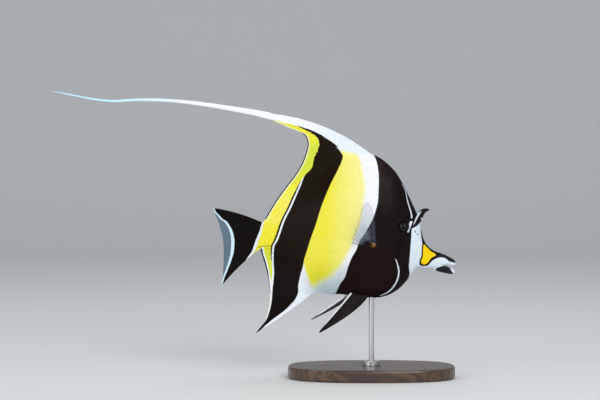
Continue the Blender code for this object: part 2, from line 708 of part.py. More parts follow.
def make_pelvic_fin(name, side, turn, twist, core):
    """A narrow blade under the breast, tapering to a point and splayed a little.

    The twist swings its front edge outwards and its hind edge in, round one ray, by an
    angle that grows from nothing at the root.
    """
    grid = fin_grid(
        lambda at: curve(PELVIC_BASE, at), PELVIC_MARGIN, PELVIC_BOW, (0.0, 1.0),
        PELVIC_RAYS, PELVIC_ROWS, PELVIC_LEAD,
    )
    pivot = np.array(PELVIC_BASE[1])
    c, s = math.cos(turn), math.sin(turn)
    grid = (grid - pivot) @ np.array([[c, -s], [s, c]]) + pivot
    drop = np.linalg.norm(grid - grid[:, :1], axis=2)
    share = np.clip(np.linspace(0, 1, PELVIC_ROWS) / PELVIC_TWIST_END, 0, 1)
    roll = twist * share**2 * (3 - 2 * share)
    axis = grid[PELVIC_AXIS]
    forward = unit(grid[0] - axis)
    ahead = np.einsum("crk,rk->cr", grid - axis, forward)
    flat = grid - (ahead * (1 - np.cos(roll)))[:, :, None] * forward
    out = PELVIC_OFF_MIDDLE + drop * math.tan(PELVIC_SPLAY) + ahead * np.sin(roll)
    lean = -side * np.sin(roll)[:, None] * forward
    normal = np.stack([lean[:, 0], np.cos(roll), lean[:, 1]], axis=1)
    half = fin_half(PELVIC_RAYS, PELVIC_ROWS, PAIRED_ROOT_HALF)
    return trimmed(fin_solid(name, upright(flat, side * out), half, normal), core)


def make_fish():
    """Every piece of the fish, in its own frame."""
    body, core = make_body()
    named = part_body(body)
    covers = named.pop("gill_covers")
    lift_gill_edge(covers)
    lift_gill_edge(named["head"])
    fish = list(named.values()) + split_sides(covers)
    fish.append(trimmed(loft("lower_jaw", JAW_RIBS, JAW_SLICES, JAW_SIDE_POINTS), core))
    for side, label in ((-1, "right"), (1, "left")):
        fish.append(eye_shape("eye_" + label, side, 0.0))
        fish.append(make_horn("horn_" + label, side, core))
        fish.append(make_pectoral_fin("pectoral_fin_" + label, side, core))
        bend = PELVIC_TURN[label], PELVIC_TWIST[label]
        fish.append(make_pelvic_fin("pelvic_fin_" + label, side, *bend, core))
    fish += make_dorsal_fin(core)
    fish += [make_streamer(part) for part in range(STREAMER_PARTS)]
    fish += [make_anal_fin(core), make_tail_fin(core)]
    delete(core)
    return fish


def swing(obj):
    """Carries the tail end and the streamer sideways along a slow wave."""
    points = points_of(obj)
    share = np.clip((SWING_FROM - points[:, 0]) / SWING_LENGTH, 0, None)
    points[:, 1] += SWING * (1 - np.cos(math.pi * share)) / 2
    set_points(obj, points)


def make_base():
    """A flat base with rounded sides, a softened edge and a seat for the rod."""
    ring = circle(1.0, BASE_SIDES)
    size = (BASE_LENGTH / 2, BASE_WIDTH / 2)
    outline = np.sign(ring) * np.abs(ring) ** (2 / BASE_SQUARENESS) * size
    base = prism("stand_base", outline, 0.0, BASE_HEIGHT)
    bevel = base.modifiers.new("edge", "BEVEL")
    bevel.width = BASE_BEVEL * MM
    bevel.segments = 2
    settle(base)
    seat = circle(ROD_RADIUS + GAP, TURNED_SIDES)
    return cut(base, prism("seat", seat, BASE_HEIGHT - ROD_SEAT_DEPTH, 2 * BASE_HEIGHT))


def make_stand():
    """Base, rod and collar, in the row's own frame."""
    low = BASE_HEIGHT - ROD_SEAT_DEPTH + GAP
    rod = prism("stand_rod", circle(ROD_RADIUS, TURNED_SIDES), low, rod_top() + FISH_LIFT)
    outline = circle(COLLAR_RADIUS, TURNED_SIDES)
    collar = prism("stand_collar", outline, BASE_HEIGHT + GAP, BASE_HEIGHT + COLLAR_HEIGHT)
    cut(collar, prism("bore", circle(ROD_RADIUS + GAP, TURNED_SIDES), 0.0, FISH_LIFT))
    return [make_base(), rod, collar]


def finish(obj):
    """Smooths the node's shading and gives it its own plain material."""
    wears = next((WEARS[name] for name in WEARS if obj.name.startswith(name)), "black")
    red, green, blue, roughness, metallic = FINISHES[wears]
    material = bpy.data.materials.new(obj.name)
    material.use_nodes = True
    shader = material.node_tree.nodes["Principled BSDF"]
    shader.inputs["Base Color"].default_value = (red, green, blue, 1)
    shader.inputs["Roughness"].default_value = roughness
    shader.inputs["Metallic"].default_value = metallic
    obj.data.materials.clear()
    obj.data.materials.append(material)
    obj.data.shade_smooth()
    obj.data.set_sharp_from_angle(angle=SMOOTH_UNDER)


def main():
    for obj in list(bpy.data.objects):
        bpy.data.objects.remove(obj)
    holder = bpy.data.objects.new("fish", None)
    bpy.context.scene.collection.objects.link(holder)
    holder.location = (-FISH_AHEAD * MM, 0, FISH_LIFT * MM)
    for obj in make_fish():
        swing(obj)
        obj.parent = holder
        finish(obj)
    for obj in make_stand():
        finish(obj)


main()
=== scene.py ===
"""Moorish idol fish on a plain display stand, dressed as a painted museum model.

The fish is drawn in its own frame, in millimetres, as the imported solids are: x runs
forward from the root of the tail fin, z runs up, y = 0 is the middle plane and the
fish's right side is at -y. placed() carries such points to the scene, in metres.
"""

import functools
import math

import bmesh
import bpy
import numpy as np
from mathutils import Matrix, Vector


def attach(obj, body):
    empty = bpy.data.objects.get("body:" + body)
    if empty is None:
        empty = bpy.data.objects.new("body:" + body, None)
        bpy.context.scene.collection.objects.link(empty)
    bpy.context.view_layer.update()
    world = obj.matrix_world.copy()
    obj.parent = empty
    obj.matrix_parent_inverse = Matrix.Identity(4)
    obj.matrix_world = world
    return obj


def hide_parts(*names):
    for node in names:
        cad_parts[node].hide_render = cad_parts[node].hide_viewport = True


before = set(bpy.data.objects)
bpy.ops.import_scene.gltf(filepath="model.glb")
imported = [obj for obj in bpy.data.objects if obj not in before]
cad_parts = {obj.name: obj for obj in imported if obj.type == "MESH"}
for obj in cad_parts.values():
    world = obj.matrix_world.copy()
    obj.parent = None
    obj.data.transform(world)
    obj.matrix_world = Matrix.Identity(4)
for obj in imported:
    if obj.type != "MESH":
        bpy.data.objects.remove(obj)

bl_info = {
    "name": "Moorish Idol Model",
    "version": (1, 0, 0),
    "blender": (4, 5, 0),
    "location": "3D View > Sidebar > Moorish Idol",
    "description": "Builds the skin, scales, fins, eyes, horns, stand and studio of a museum fish",
    "category": "Mesh",
}

MM = 0.001
FISH_AHEAD = 87.0
FISH_LIFT = 102.0
SEED = 7
SIDES = (("right", -1), ("left", 1))

# How finely things are drawn: rows and points round each, or for fins the columns of
# each ray and the rows
SKIN_MESH = (330, 118)
SKIN_CLOSER = 1.3  # how much closer the skin's rows are on the head
SKIN_CLOSER_AT = (84.0, 92.0)
JAW_MESH = (48, 26)
EYE_MESH = (33, 64)
HORN_MESH = (90, 36)
STREAMER_MESH = (200, 24)
PECTORAL_MESH = (8, 34)
PELVIC_MESH = (10, 44)
LINE_POINTS = 260  # points along a line that distances are taken to
MIDDLE_POINTS = 3000  # points along a body's middle line that its rows are spread by
FLANK_ROWS = 620  # rows that places on the flank are looked up in
WIDTH_ROWS = 900  # the same, for the half width at one place
ROOT_POINTS = 400  # points along a fin's root line
POINTS_AT_A_TIME = 6000  # to save memory

# Ribs of the body, as in the solids: a point on the back line and one on the belly
# line, the widest half width, the half width left at each edge, and how the side
# closes towards each edge.
RIBS = np.array([
    (149.4, -16.3, 149.2, -17.9, 0.8, 0.40, 0.40, 0.50, 0.50),
    (148.7, -15.2, 148.1, -18.7, 2.1, 0.50, 0.50, 0.50, 0.50),
    (146.8, -13.8, 146.0, -18.9, 2.8, 0.50, 0.50, 0.50, 0.50),
    (143.5, -11.9, 142.5, -18.4, 2.3, 0.50, 0.50, 0.50, 0.50),
    (138.5, -9.8, 137.8, -19.3, 2.9, 0.50, 0.50, 0.50, 0.50),
    (133.6, -8.1, 133.0, -20.7, 3.6, 0.50, 0.50, 0.50, 0.50),
    (129.2, -4.9, 127.5, -20.8, 4.5, 0.50, 0.50, 0.50, 0.50),
    (126.2, -0.8, 122.6, -20.6, 5.4, 0.50, 0.50, 0.50, 0.50),
    (124.4, 4.5, 119.4, -21.5, 6.3, 0.50, 0.50, 0.50, 0.50),
    (123.0, 11.0, 117.2, -24.2, 7.1, 0.50, 0.50, 0.50, 0.50),
    (120.9, 18.5, 115.0, -27.4, 8.0, 0.50, 0.50, 0.50, 0.52),
    (117.7, 25.8, 111.8, -31.6, 9.0, 0.50, 0.50, 0.50, 0.55),
    (114.0, 33.8, 107.5, -35.9, 10.0, 0.50, 0.50, 0.52, 0.55),
    (109.8, 42.3, 102.6, -39.2, 11.2, 0.50, 0.50, 0.55, 0.55),
    (105.0, 50.0, 97.5, -41.4, 12.2, 0.60, 0.50, 0.62, 0.55),
    (98.5, 56.8, 91.5, -42.6, 12.9, 0.80, 0.50, 0.75, 0.55),
    (90.5, 62.3, 84.0, -42.6, 13.2, 1.00, 0.50, 1.00, 0.55),
    (80.5, 64.4, 75.0, -41.4, 13.0, 1.10, 0.60, 1.25, 0.58),
    (69.0, 61.6, 65.5, -40.2, 12.4, 1.10, 0.70, 1.35, 0.62),
    (56.0, 54.6, 55.5, -39.8, 11.2, 1.10, 0.90, 1.35, 0.80),
    (44.0, 45.8, 45.5, -38.6, 9.6, 1.10, 1.10, 1.35, 1.10),
    (33.0, 36.0, 36.0, -33.4, 8.0, 1.10, 1.10, 1.30, 1.25),
    (23.5, 26.4, 26.5, -24.6, 6.5, 1.10, 1.10, 1.20, 1.20),
    (15.5, 19.2, 17.5, -15.2, 5.2, 1.05, 1.05, 0.90, 0.90),
    (10.0, 15.2, 10.8, -8.6, 4.3, 0.90, 0.90, 0.60, 0.60),
    (6.7, 13.5, 6.2, -6.0, 3.4, 0.80, 0.80, 0.50, 0.50),
    (4.9, 12.6, 2.6, -6.8, 2.5, 0.80, 0.80, 0.50, 0.50),
])
FULLNESS = 2.4  # of the side's bulge between back and belly
EDGE_CROWDING = 0.75  # how much closer a row's points are near the back and the belly
RELIEF_REACH = 8  # how near the back and the belly the relief runs, as a power
PAST_END_COST = 40  # millimetres that a whole length past a row's end adds to its distance
JAW_RIBS = np.array([
    (133.4, -17.6, 132.2, -20.6, 1.2, 0.50, 0.50, 0.50, 0.50),
    (136.2, -18.0, 135.0, -22.6, 2.2, 0.50, 0.50, 0.50, 0.50),
    (139.8, -18.6, 139.0, -23.9, 2.3, 0.50, 0.50, 0.50, 0.50),
    (143.0, -19.6, 142.4, -24.6, 2.2, 0.50, 0.50, 0.50, 0.50),
    (145.8, -20.8, 145.5, -25.1, 2.4, 0.50, 0.50, 0.50, 0.50),
    (147.7, -21.7, 147.5, -24.9, 2.1, 0.50, 0.50, 0.50, 0.50),
    (148.5, -22.5, 148.4, -24.1, 1.0, 0.40, 0.40, 0.50, 0.50),
])

# Lines on the side of the body that its relief follows
GILL_OPENING = [
    (107.5, 58.0), (102.5, 51.0), (97.0, 36.0), (93.5, 20.0), (91.8, 8.0), (92.3, -1.0),
    (98.0, -6.6), (104.0, -11.8), (106.3, -16.5), (106.4, -23.0), (103.6, -31.4),
    (98.0, -38.0), (91.0, -43.0), (88.0, -45.5),
]
GILL_COVER_FRONT = [
    (92.1, 12.0), (97.5, 14.2), (102.5, 12.8), (106.6, 7.0), (108.6, -1.0),
    (108.6, -8.0), (106.2, -12.4), (104.2, -12.0),
]
GILL_LIFT_HEIGHTS = [(-40.0, 0), (-32.0, 1), (10.0, 1), (16.0, 0)]
GILL_LIFT_FADE = 7.0
GILL_LIFT_CURVE = 1.5
GILL_STEP = (-0.1, 0.3)
GILL_GROOVE_HEIGHTS = [(-44.0, 0), (-38.0, 1), (30.0, 1), (52.0, 0)]
GILL_GROOVE = (0.35, 1.0)  # depth and width
COVER_GROOVE = (0.13, 0.8)
EYE_AT = (110.3, 10.2)
EYE_RIM = (0.3, 0.7)  # height and width
SOCKET_DEPTH = 2.4
SOCKET_WALL = (-0.8, 0.25)  # where the wall starts and ends, from the opening's radius
PUPIL_RADIUS = 1.95
NOSTRILS = [(119.0, 6.6), (120.9, 4.4)]
NOSTRIL_RIM_AND_PIT = ((0.25, 1.05, 0.4), (-1.0, 0.0, 0.6))  # height, radius and width
PECTORAL_PAD = (86.9, -3.8)
PAD_SPREAD = (4.2, 2.2)
PAD_RISE = 0.9

# The horn's path from root to tip: x, distance from the middle plane, z and radius
HORN_PATH = np.array([
    (115.3, 7.9, 6.9, 0.4),
    (116.6, 7.5, 9.5, 1.0),
    (118.8, 6.7, 11.9, 1.6),
    (120.4, 6.1, 14.0, 2.1),
    (122.4, 6.5, 17.6, 2.25),
    (124.4, 7.3, 20.7, 1.7),
    (127.0, 8.1, 22.3, 0.9),
    (129.5, 8.7, 22.8, 0.25),
])
HORN_FLATNESS = 0.62
HORN_RINGS = (0.02, 70)  # height, as a share of the radius, and angle over the horn's length

# Fins, as in the solids
DORSAL_BASE_RIBS = (16.0, 25.0)
DORSAL_MARGIN = [
    (14.8, 93.3), (14.0, 89.0), (20.0, 86.0), (26.8, 82.8), (33.3, 80.2), (37.9, 77.0),
    (39.7, 71.6), (38.7, 65.8), (35.7, 57.3), (30.6, 48.6), (23.6, 39.4), (15.6, 28.2),
    (8.3, 15.9),
]
DORSAL_EDGE = (79.5, 0.85, 1.6)  # top, dark reach and pale reach of its lined margin
DORSAL_BOW = [(0.0, 6.1), (0.2, 5.0), (0.42, 1.0), (1.0, 0.0)]
STREAMER = np.array([
    (20.0, 88.8, 1.6, 0.50),
    (16.8, 90.2, 4.0, 1.35),
    (13.9, 91.1, 4.7, 1.50),
    (-0.5, 94.5, 4.3, 1.45),
    (-15.6, 97.1, 3.7, 1.40),
    (-31.0, 99.6, 3.2, 1.35),
    (-47.4, 101.8, 2.8, 1.30),
    (-67.0, 103.5, 2.3, 1.20),
    (-85.7, 103.8, 2.0, 1.10),
    (-105.4, 102.9, 1.7, 1.00),
    (-118.0, 104.2, 1.4, 0.90),
    (-130.3, 106.5, 1.1, 0.80),
    (-141.0, 108.6, 0.8, 0.65),
    (-149.0, 110.1, 0.3, 0.25),
])
STREAMER_LENS = 1.15  # how pointed its section is, as a power
STREAMER_RIDGES = (0.10, 6)  # their height, as a share of the thickness, and their count
ANAL_BASE_RIBS = (19.9, 25.0)
ANAL_MARGIN = [
    (0.7, -69.8), (4.3, -65.4), (7.2, -61.8), (8.9, -58.2), (10.5, -51.8), (11.6, -44.0),
    (11.6, -37.0), (10.9, -31.0), (9.6, -24.5), (7.6, -17.2), (5.7, -10.9), (4.8, -7.6),
]
ANAL_BOW = [(0.0, -0.9), (0.3, -0.8), (1.0, 0.0)]
TAIL_MARGIN = [
    (-30.8, 23.6), (-28.2, 17.0), (-25.4, 9.0), (-23.3, 0.3), (-22.8, -8.9),
    (-23.0, -20.0), (-23.6, -28.5), (-24.3, -34.5),
]
TAIL_BOW = [(0.0, 1.4), (0.3, 0.7), (0.5, 0.0), (1.0, 1.2)]
PECTORAL_BASE = [(89.2, -4.8), (86.4, -3.3), (83.4, -2.2)]
PECTORAL_MARGIN = [
    (87.0, 23.0), (85.2, 26.8), (82.7, 28.6), (79.6, 25.6), (77.6, 18.8), (75.2, 11.4),
    (73.0, 4.4), (72.0, -2.0),
]
PECTORAL_BOW = [(0.0, 1.0), (1.0, -0.8)]
PECTORAL_SINK = 1.8
PECTORAL_FLARE = (1.05, 0.8)  # factor and power of the distance from the root
PECTORAL_HALF = (1.0, 0.10)  # half thickness at root and margin
PECTORAL_THINNED = 0.9
PECTORAL_BRANCH = 0.55
PELVIC_BASE = [(86.5, -36.0), (80.2, -35.6), (74.5, -35.0)]
PELVIC_MARGIN = [(48.3, -68.2), (48.1, -67.6), (48.5, -66.7)]
PELVIC_BOW = [(0.0, -4.4), (1.0, -0.1)]
PELVIC_LEAD = 0.18
PELVIC_OFF_MIDDLE = 1.9
PELVIC_SPLAY = math.radians(9)
PELVIC_TURN = {"right": 0.0, "left": math.radians(12)}
PELVIC_TWIST = {"right": 0.0, "left": math.radians(66)}
PELVIC_TWIST_END = 0.45
PELVIC_AXIS = 5 / 6
PELVIC_ROOT_HALF = 1.1
PELVIC_SPINES = ((0.3, 0.8), (0.28, 0.4))  # rise and width of the front and hind edge
PELVIC_TIP_THINNED = 0.55
PELVIC_WHITE_FROM = {"right": 5.5, "left": 4.2}
FIN_SINK = 1.6
MEMBRANE_HALF = 0.30
MARGIN_HALF = 0.16
FILLET_REACH = 2.4
FILLET_CURVE = 1.4
RAYS_FULL_AT = 0.12  # share of the way out where the rays' relief is at its full height
RAYS_LOSE = 0.6  # share of that height that they lose by the margin
SHARP_FROM = math.radians(50)
BRANCH_HEIGHT = 0.8
BRANCH_SPREAD = 0.12
NEVER_BRANCHES = 2.0
SWING_FROM = 60.0
SWING_LENGTH = 90.0
SWING = 8.0

# Edges of the colour bands, as (x, z) down the side, from the top of each to its foot
BAND_ONE_REAR = [
    (87.7, 64.4), (89.5, 61.0), (90.8, 56.8), (91.7, 51.2), (92.0, 45.0), (91.7, 37.0),
    (91.2, 28.9), (89.5, 22.3), (88.2, 18.0), (85.5, 12.6), (81.6, 5.5), (77.3, -1.0),
    (75.7, -5.9), (72.4, -11.8), (69.7, -18.4), (67.0, -27.1), (63.7, -32.0), (60.5, -39.0),
    (58.5, -42.2),
]
YELLOW_FRONT = [
    (74.5, 66.6), (76.4, 64.0), (77.9, 61.4), (79.5, 56.2), (80.4, 50.5), (81.5, 44.6),
    (82.0, 38.0), (81.5, 33.3), (80.8, 25.9), (80.6, 20.0),
]
YELLOW_FOOT = [
    (34.8, -11.8), (36.6, -17.8), (39.2, -25.9), (43.4, -34.8), (48.8, -31.8), (54.0, -28.9),
    (59.5, -24.1), (63.0, -20.0), (67.2, -13.3), (71.0, -5.9), (74.4, 1.5), (77.6, 10.0),
    (80.2, 21.0), (82.0, 33.0),
]
YELLOW_TOP = 79.1
YELLOW_TOP_SLOPE = 0.2
YELLOW_STOPS = 84.5
REAR_STARTS = 10.0
REAR_HEIGHTS = (-31.0, 46.0)
BAND_TWO_TOP = 84.4
LINES_TOP = 48.0
DARK_HEIGHTS = (-16.8, 46.0)
BAND_TWO_FRONT = [
    (31.5, 84.8), (37.9, 82.9), (42.5, 81.3), (47.1, 79.1), (53.8, 75.3), (58.7, 71.6),
    (61.8, 68.5), (64.2, 65.3),
    (65.5, 61.6), (64.6, 57.9), (62.4, 53.1), (59.9, 48.1), (56.8, 42.0), (50.3, 26.6),
    (45.1, 10.4), (41.4, 0.0), (39.0, -7.9), (37.2, -13.8), (36.0, -19.8), (34.6, -24.6),
    (33.5, -29.6), (32.6, -35.5), (32.8, -37.5), (31.1, -42.9), (27.6, -47.4), (22.7, -52.3),
    (17.8, -56.2), (11.9, -60.7), (6.0, -66.1), (3.6, -68.8),
]
BAND_TWO_REAR = [
    (31.5, 84.4), (37.9, 81.5), (42.5, 79.1), (46.1, 76.3), (48.0, 73.0), (48.0, 69.6),
    (47.0, 66.6), (45.7, 63.5),
    (44.5, 61.0), (43.6, 56.8), (43.0, 54.2), (40.8, 51.2), (37.7, 48.1), (35.9, 45.0),
    (34.3, 41.3), (31.8, 35.5), (26.6, 23.7), (21.5, 13.3), (18.5, 4.4), (16.8, 0.0),
    (14.3, -5.0), (13.8, -9.8), (13.7, -14.8), (13.9, -19.8), (14.1, -23.7), (13.9, -27.6),
    (13.5, -31.6), (13.1, -35.5), (12.7, -40.5), (12.4, -45.4), (11.6, -50.3), (10.4, -54.8),
    (9.4, -57.7), (7.4, -61.4), (3.0, -65.9), (0.0, -68.8),
]
TAIL_LINE = [
    (6.6, 13.6), (6.2, 12.1), (5.3, 8.2), (4.1, 4.3), (2.6, 0.4), (1.3, -3.5), (0.5, -5.5),
    (-0.2, -7.4), (-1.3, -9.6), (-3.6, -12.5), (-5.9, -15.5),
]
CRESCENT = [
    (-30.5, 24.0), (-29.9, 22.6), (-29.1, 20.8), (-26.7, 18.0), (-24.2, 15.2), (-21.3, 13.2),
    (-19.2, 10.2), (-17.3, 6.4), (-16.4, 2.8), (-16.0, -0.6), (-16.1, -5.2), (-16.5, -9.6),
    (-17.6, -13.9), (-19.2, -18.9), (-21.0, -23.7), (-22.8, -28.4), (-23.8, -32.6),
    (-24.4, -35.1),
]
TAIL_TOP = 40.0
TAIL_LINE_FOOT = -19.5
ANAL_HEIGHTS = (-39.0, -5.2)
ANAL_CORNER = (4.2, -6.6)
ANAL_EDGE = [
    (6.1, -3.7), (6.5, -5.9), (7.0, -9.8), (8.4, -14.3), (9.8, -19.2), (11.0, -24.6),
    (11.8, -30.6), (12.4, -35.5), (12.5, -40.0),
]
STREAK_TOP = [
    (13.0, 89.4), (15.9, 88.7), (21.8, 87.0), (28.7, 85.5), (32.4, 84.2), (37.9, 82.4),
    (42.5, 80.8), (47.1, 78.6), (48.8, 77.4),
]
UNDER_STALK = [(2.0, -6.3), (3.6, -5.5), (6.3, -4.7), (12.1, -4.2), (13.9, -3.2)]
STALK_SPAN = (2.6, 13.6)
FACE_TOP = 14.2
FACE_REAR = [
    (123.2, 14.1), (120.2, 12.2), (118.0, 10.4), (116.4, 8.1), (116.0, 3.0), (115.6, -2.7),
    (115.1, -9.2), (114.6, -15.5), (114.4, -19.5), (114.9, -24.6), (113.0, -31.0),
    (109.7, -34.9), (106.6, -37.7),
]
FACE_FRONT = [
    (123.2, 14.1), (123.3, 12.9), (123.1, 6.9), (123.9, 0.4), (124.4, -4.7), (123.9, -9.2),
    (123.3, -13.7), (122.3, -16.3), (122.5, -18.1), (125.1, -19.2), (159.8, -19.4),
]
SADDLE_REAR = [
    (125.5, -2.6), (125.0, -5.2), (124.8, -7.3), (124.8, -9.6), (124.5, -12.4),
    (123.7, -14.4), (123.4, -15.9), (124.5, -17.5), (125.8, -17.9),
]
SADDLE_FRONT = [
    (125.5, -2.6), (128.0, -5.3), (131.2, -8.4), (134.3, -11.0), (132.8, -12.0),
    (131.0, -13.0), (129.1, -15.6), (127.1, -17.5), (125.8, -17.9),
]
BORDER_REAR = [
    (125.2, -0.4), (123.9, -5.2), (123.7, -8.9), (123.4, -12.2), (122.5, -14.1),
    (122.2, -16.3), (123.2, -18.4), (125.8, -19.1),
]
BORDER_FRONT = [
    (125.2, -0.4), (131.0, -4.7), (137.6, -9.6), (136.0, -12.1), (132.5, -14.1),
    (130.5, -16.6), (128.4, -18.5), (125.8, -19.1),
]
BORDER_HEIGHTS = (-19.1, -0.5)
SADDLE_HEIGHTS = (-17.9, -2.6)
SLATE_CORNER = (126.0, -18.0)
SNOUT_FROM = 123.0
SNOUT_WHITE_TOP = [
    (122.8, -19.2), (128.4, -17.2), (131.0, -15.6), (134.2, -13.7), (138.0, -12.7),
    (141.2, -13.3), (144.4, -15.6), (148.3, -16.6),
]
MOUTH = [
    (130.2, -22.6), (132.5, -21.4), (136.8, -19.8), (141.9, -18.8), (145.8, -19.2),
    (148.7, -19.4),
]
JAW_FROM = 134.5
LIP_SLOPE = 0.6
LIP_FROM = 132.6
THIN_LINES_FROM = 92.0
BROW = [
    (109.4, 41.2), (111.4, 38.0), (112.3, 34.5), (113.3, 29.3), (114.6, 24.9), (115.9, 20.4),
    (116.4, 15.8), (115.7, 13.3), (114.7, 10.0), (113.5, 6.3),
]
GILL_ARC = [
    (104.0, -13.0), (104.5, -13.8), (105.8, -17.3), (106.7, -21.6), (106.6, -25.5),
    (105.5, -29.7), (103.4, -33.6), (100.1, -37.4), (96.3, -39.8), (93.1, -40.9),
]

# Half widths of the thin lines, as (z, half width); below zero there is no line
WHITE_LINE_WIDTH = [
    (46.3, 0.15), (44.4, 0.48), (41.4, 0.62), (23.7, 0.68), (0.0, 0.70), (-14.8, 0.67),
    (-29.6, 0.63), (-40.0, 0.60), (-45.0, 0.52), (-50.3, 0.45), (-57.7, 0.33),
    (-61.4, 0.15), (-63.6, -0.30),
]
DARK_LINE_WIDTH = [
    (46.5, -0.30), (45.4, 0.0), (43.0, 0.45), (39.3, 0.95), (35.5, 1.25), (31.5, 1.45),
    (22.0, 1.45), (11.0, 1.5), (0.0, 1.6),
    (-5.2, 1.2), (-9.6, 0.9), (-14.8, 0.5), (-17.0, -0.3),
]
TAIL_LINE_WIDTH = [
    (13.6, 0.45), (12.1, 0.60), (8.2, 0.78), (4.3, 1.00), (0.4, 1.20), (-3.5, 1.20),
    (-7.4, 1.00), (-9.6, 0.95), (-12.5, 0.80), (-15.5, 0.45), (-18.0, -0.20),
]
CRESCENT_WIDTH = [
    (24.0, 0.35), (20.7, 0.50), (17.8, 0.70), (13.3, 1.00), (10.0, 0.95), (6.4, 1.00),
    (0.0, 1.20), (-5.0, 1.15), (-14.0, 1.00), (-19.0, 0.85), (-23.7, 0.70), (-28.0, 0.55),
    (-32.6, 0.40), (-35.0, 0.30),
]
BROW_WIDTH = [
    (42.5, -0.30), (41.2, 0.12), (38.0, 0.20), (34.5, 0.26), (29.0, 0.34), (25.0, 0.42),
    (20.4, 0.48), (17.0, 0.48), (15.6, -0.25), (14.7, -0.25), (14.0, 0.95), (13.3, 1.05),
    (10.0, 0.75), (6.5, 0.50), (5.6, -0.30),
]
GILL_ARC_WIDTH = [
    (-12.4, -0.30), (-13.0, 0.10), (-13.8, 0.30), (-17.0, 0.45), (-21.6, 0.52),
    (-25.5, 0.52), (-29.7, 0.58), (-33.6, 0.62), (-37.4, 0.72), (-39.8, 0.85),
    (-40.9, 0.50), (-41.3, -0.30),
]


# Curves and surfaces in numpy

def cubic(knots, values, at):
    """Values at `at` on the smooth cubic through `values`: each span blends its two end
    values and end slopes, and a slope is the length-weighted mean of its two spans'."""
    knots = np.asarray(knots, float)
    values = np.asarray(values, float)
    step = np.diff(knots)[:, None]
    slope = np.diff(values, axis=0) / step
    tangent = np.empty_like(values)
    tangent[0], tangent[-1] = slope[0], slope[-1]
    tangent[1:-1] = (slope[:-1] * step[1:] + slope[1:] * step[:-1]) / (step[1:] + step[:-1])
    i = np.clip(np.searchsorted(knots, at, side="right") - 1, 0, len(knots) - 2)
    h = step[i]
    t = ((at - knots[i]) / h[:, 0])[:, None]
    return (
        values[i] * (1 + 2 * t) * (1 - t) ** 2
        + tangent[i] * h * t * (1 - t) ** 2
        + values[i + 1] * t * t * (3 - 2 * t)
        + tangent[i + 1] * h * t * t * (t - 1)
    )


def lengths_along(points):
    """Distance travelled at each point, as a share of the whole."""
    steps = np.linalg.norm(np.diff(points, axis=0), axis=1)
    travelled = np.concatenate([[0.0], np.cumsum(steps)])
    return travelled / travelled[-1]


def curve(points, at):
    """Points at the shares `at` of the length of a smooth curve through `points`."""
    points = np.asarray(points, float)
    return cubic(lengths_along(points), points, np.asarray(at, float))


def table(pairs, at):
    """A value read off a line of (place, value) pairs."""
    places, values = np.array(sorted(pairs), float).T
    return np.interp(at, places, values)


def unit(vectors):
    return vectors / np.linalg.norm(vectors, axis=-1, keepdims=True)


def turned(vectors):
    """Flat vectors (x, z) turned a quarter turn to the right."""
    return np.stack([vectors[..., 1], -vectors[..., 0]], axis=-1)


def smooth(value, low, high):
    """0 below low, 1 above high, and the cubic 3t^2 - 2t^3 between them."""
    t = np.clip((value - low) / (high - low), 0, 1)
    return t * t * (3 - 2 * t)


def bell(distance, width):
    """1 at no distance, falling as e to the power of -(distance / width)^2."""
    return np.exp(-((distance / width) ** 2))


def distance_to(line, x, z):
    """Distance from each (x, z) to a curve drawn through the line's points."""
    points = curve(line, np.linspace(0, 1, LINE_POINTS))
    flat = np.stack([x.ravel(), z.ravel()], axis=1)
    parts = np.array_split(flat, max(1, len(flat) // POINTS_AT_A_TIME))
    near = [np.linalg.norm(p[:, None] - points[None], axis=2).min(axis=1) for p in parts]
    return np.concatenate(near).reshape(x.shape)


def middle_line(rows):
    """The points midway between each row's back and belly."""
    return (rows[:, 0:2] + rows[:, 2:4]) / 2


def ribs_at(ribs, at):
    """The ribs' values at places counted in ribs from the first."""
    knots = lengths_along(middle_line(ribs))
    return cubic(knots, ribs, np.interp(at, np.arange(len(ribs)), knots))


def even_rows(ribs, count, closer=None):
    """Rows of ribs spread evenly along the middle line, or more closely where closer,
    a function of the row's x, is high: equal steps of the running sum of its density."""
    fine = np.linspace(0, len(ribs) - 1, MIDDLE_POINTS)
    middles = middle_line(ribs_at(ribs, fine))
    step = np.linalg.norm(np.diff(middles, axis=0), axis=1)
    if closer is not None:
        step = step * closer(middles[1:, 0])
    run = np.concatenate([[0.0], np.cumsum(step)])
    return ribs_at(ribs, np.interp(np.linspace(0, run[-1], count), run, fine))


def nearest_row(points, rows):
    """The row that passes nearest each point, and the point's share across it."""
    belly, up = rows[:, 2:4], rows[:, 0:2] - rows[:, 2:4]
    rel = points[:, None] - belly[None]
    share = (rel * up[None]).sum(axis=2) / (up**2).sum(axis=1)
    side = np.abs(rel[..., 0] * up[None, :, 1] - rel[..., 1] * up[None, :, 0])
    off = side / np.linalg.norm(up, axis=1)
    off = off + PAST_END_COST * np.clip(np.abs(share - 0.5) - 0.5, 0, None)
    near = off.argmin(axis=1)
    return near, 2 * share[np.arange(len(points)), near] - 1


def side_width(rows, across):
    """Half width at a share across, -1 at the belly and 1 at the back: the edge width
    plus what is left of the half width times (1 - |across|^fullness)^close."""
    share = (across + 1) / 2
    half, back_edge, belly_edge, back_close, belly_close = rows.T[4:, :, None]
    edge = belly_edge + (back_edge - belly_edge) * share
    close = belly_close + (back_close - belly_close) * share
    return edge + (half - edge) * (1 - np.abs(across) ** FULLNESS) ** close


def side_width_at(place):
    """Half width of the plain body at one point of the side view."""
    rows = even_rows(RIBS, WIDTH_ROWS)
    row, across = nearest_row(np.array([place]), rows)
    return side_width(rows[row], across[:, None])[0, 0]


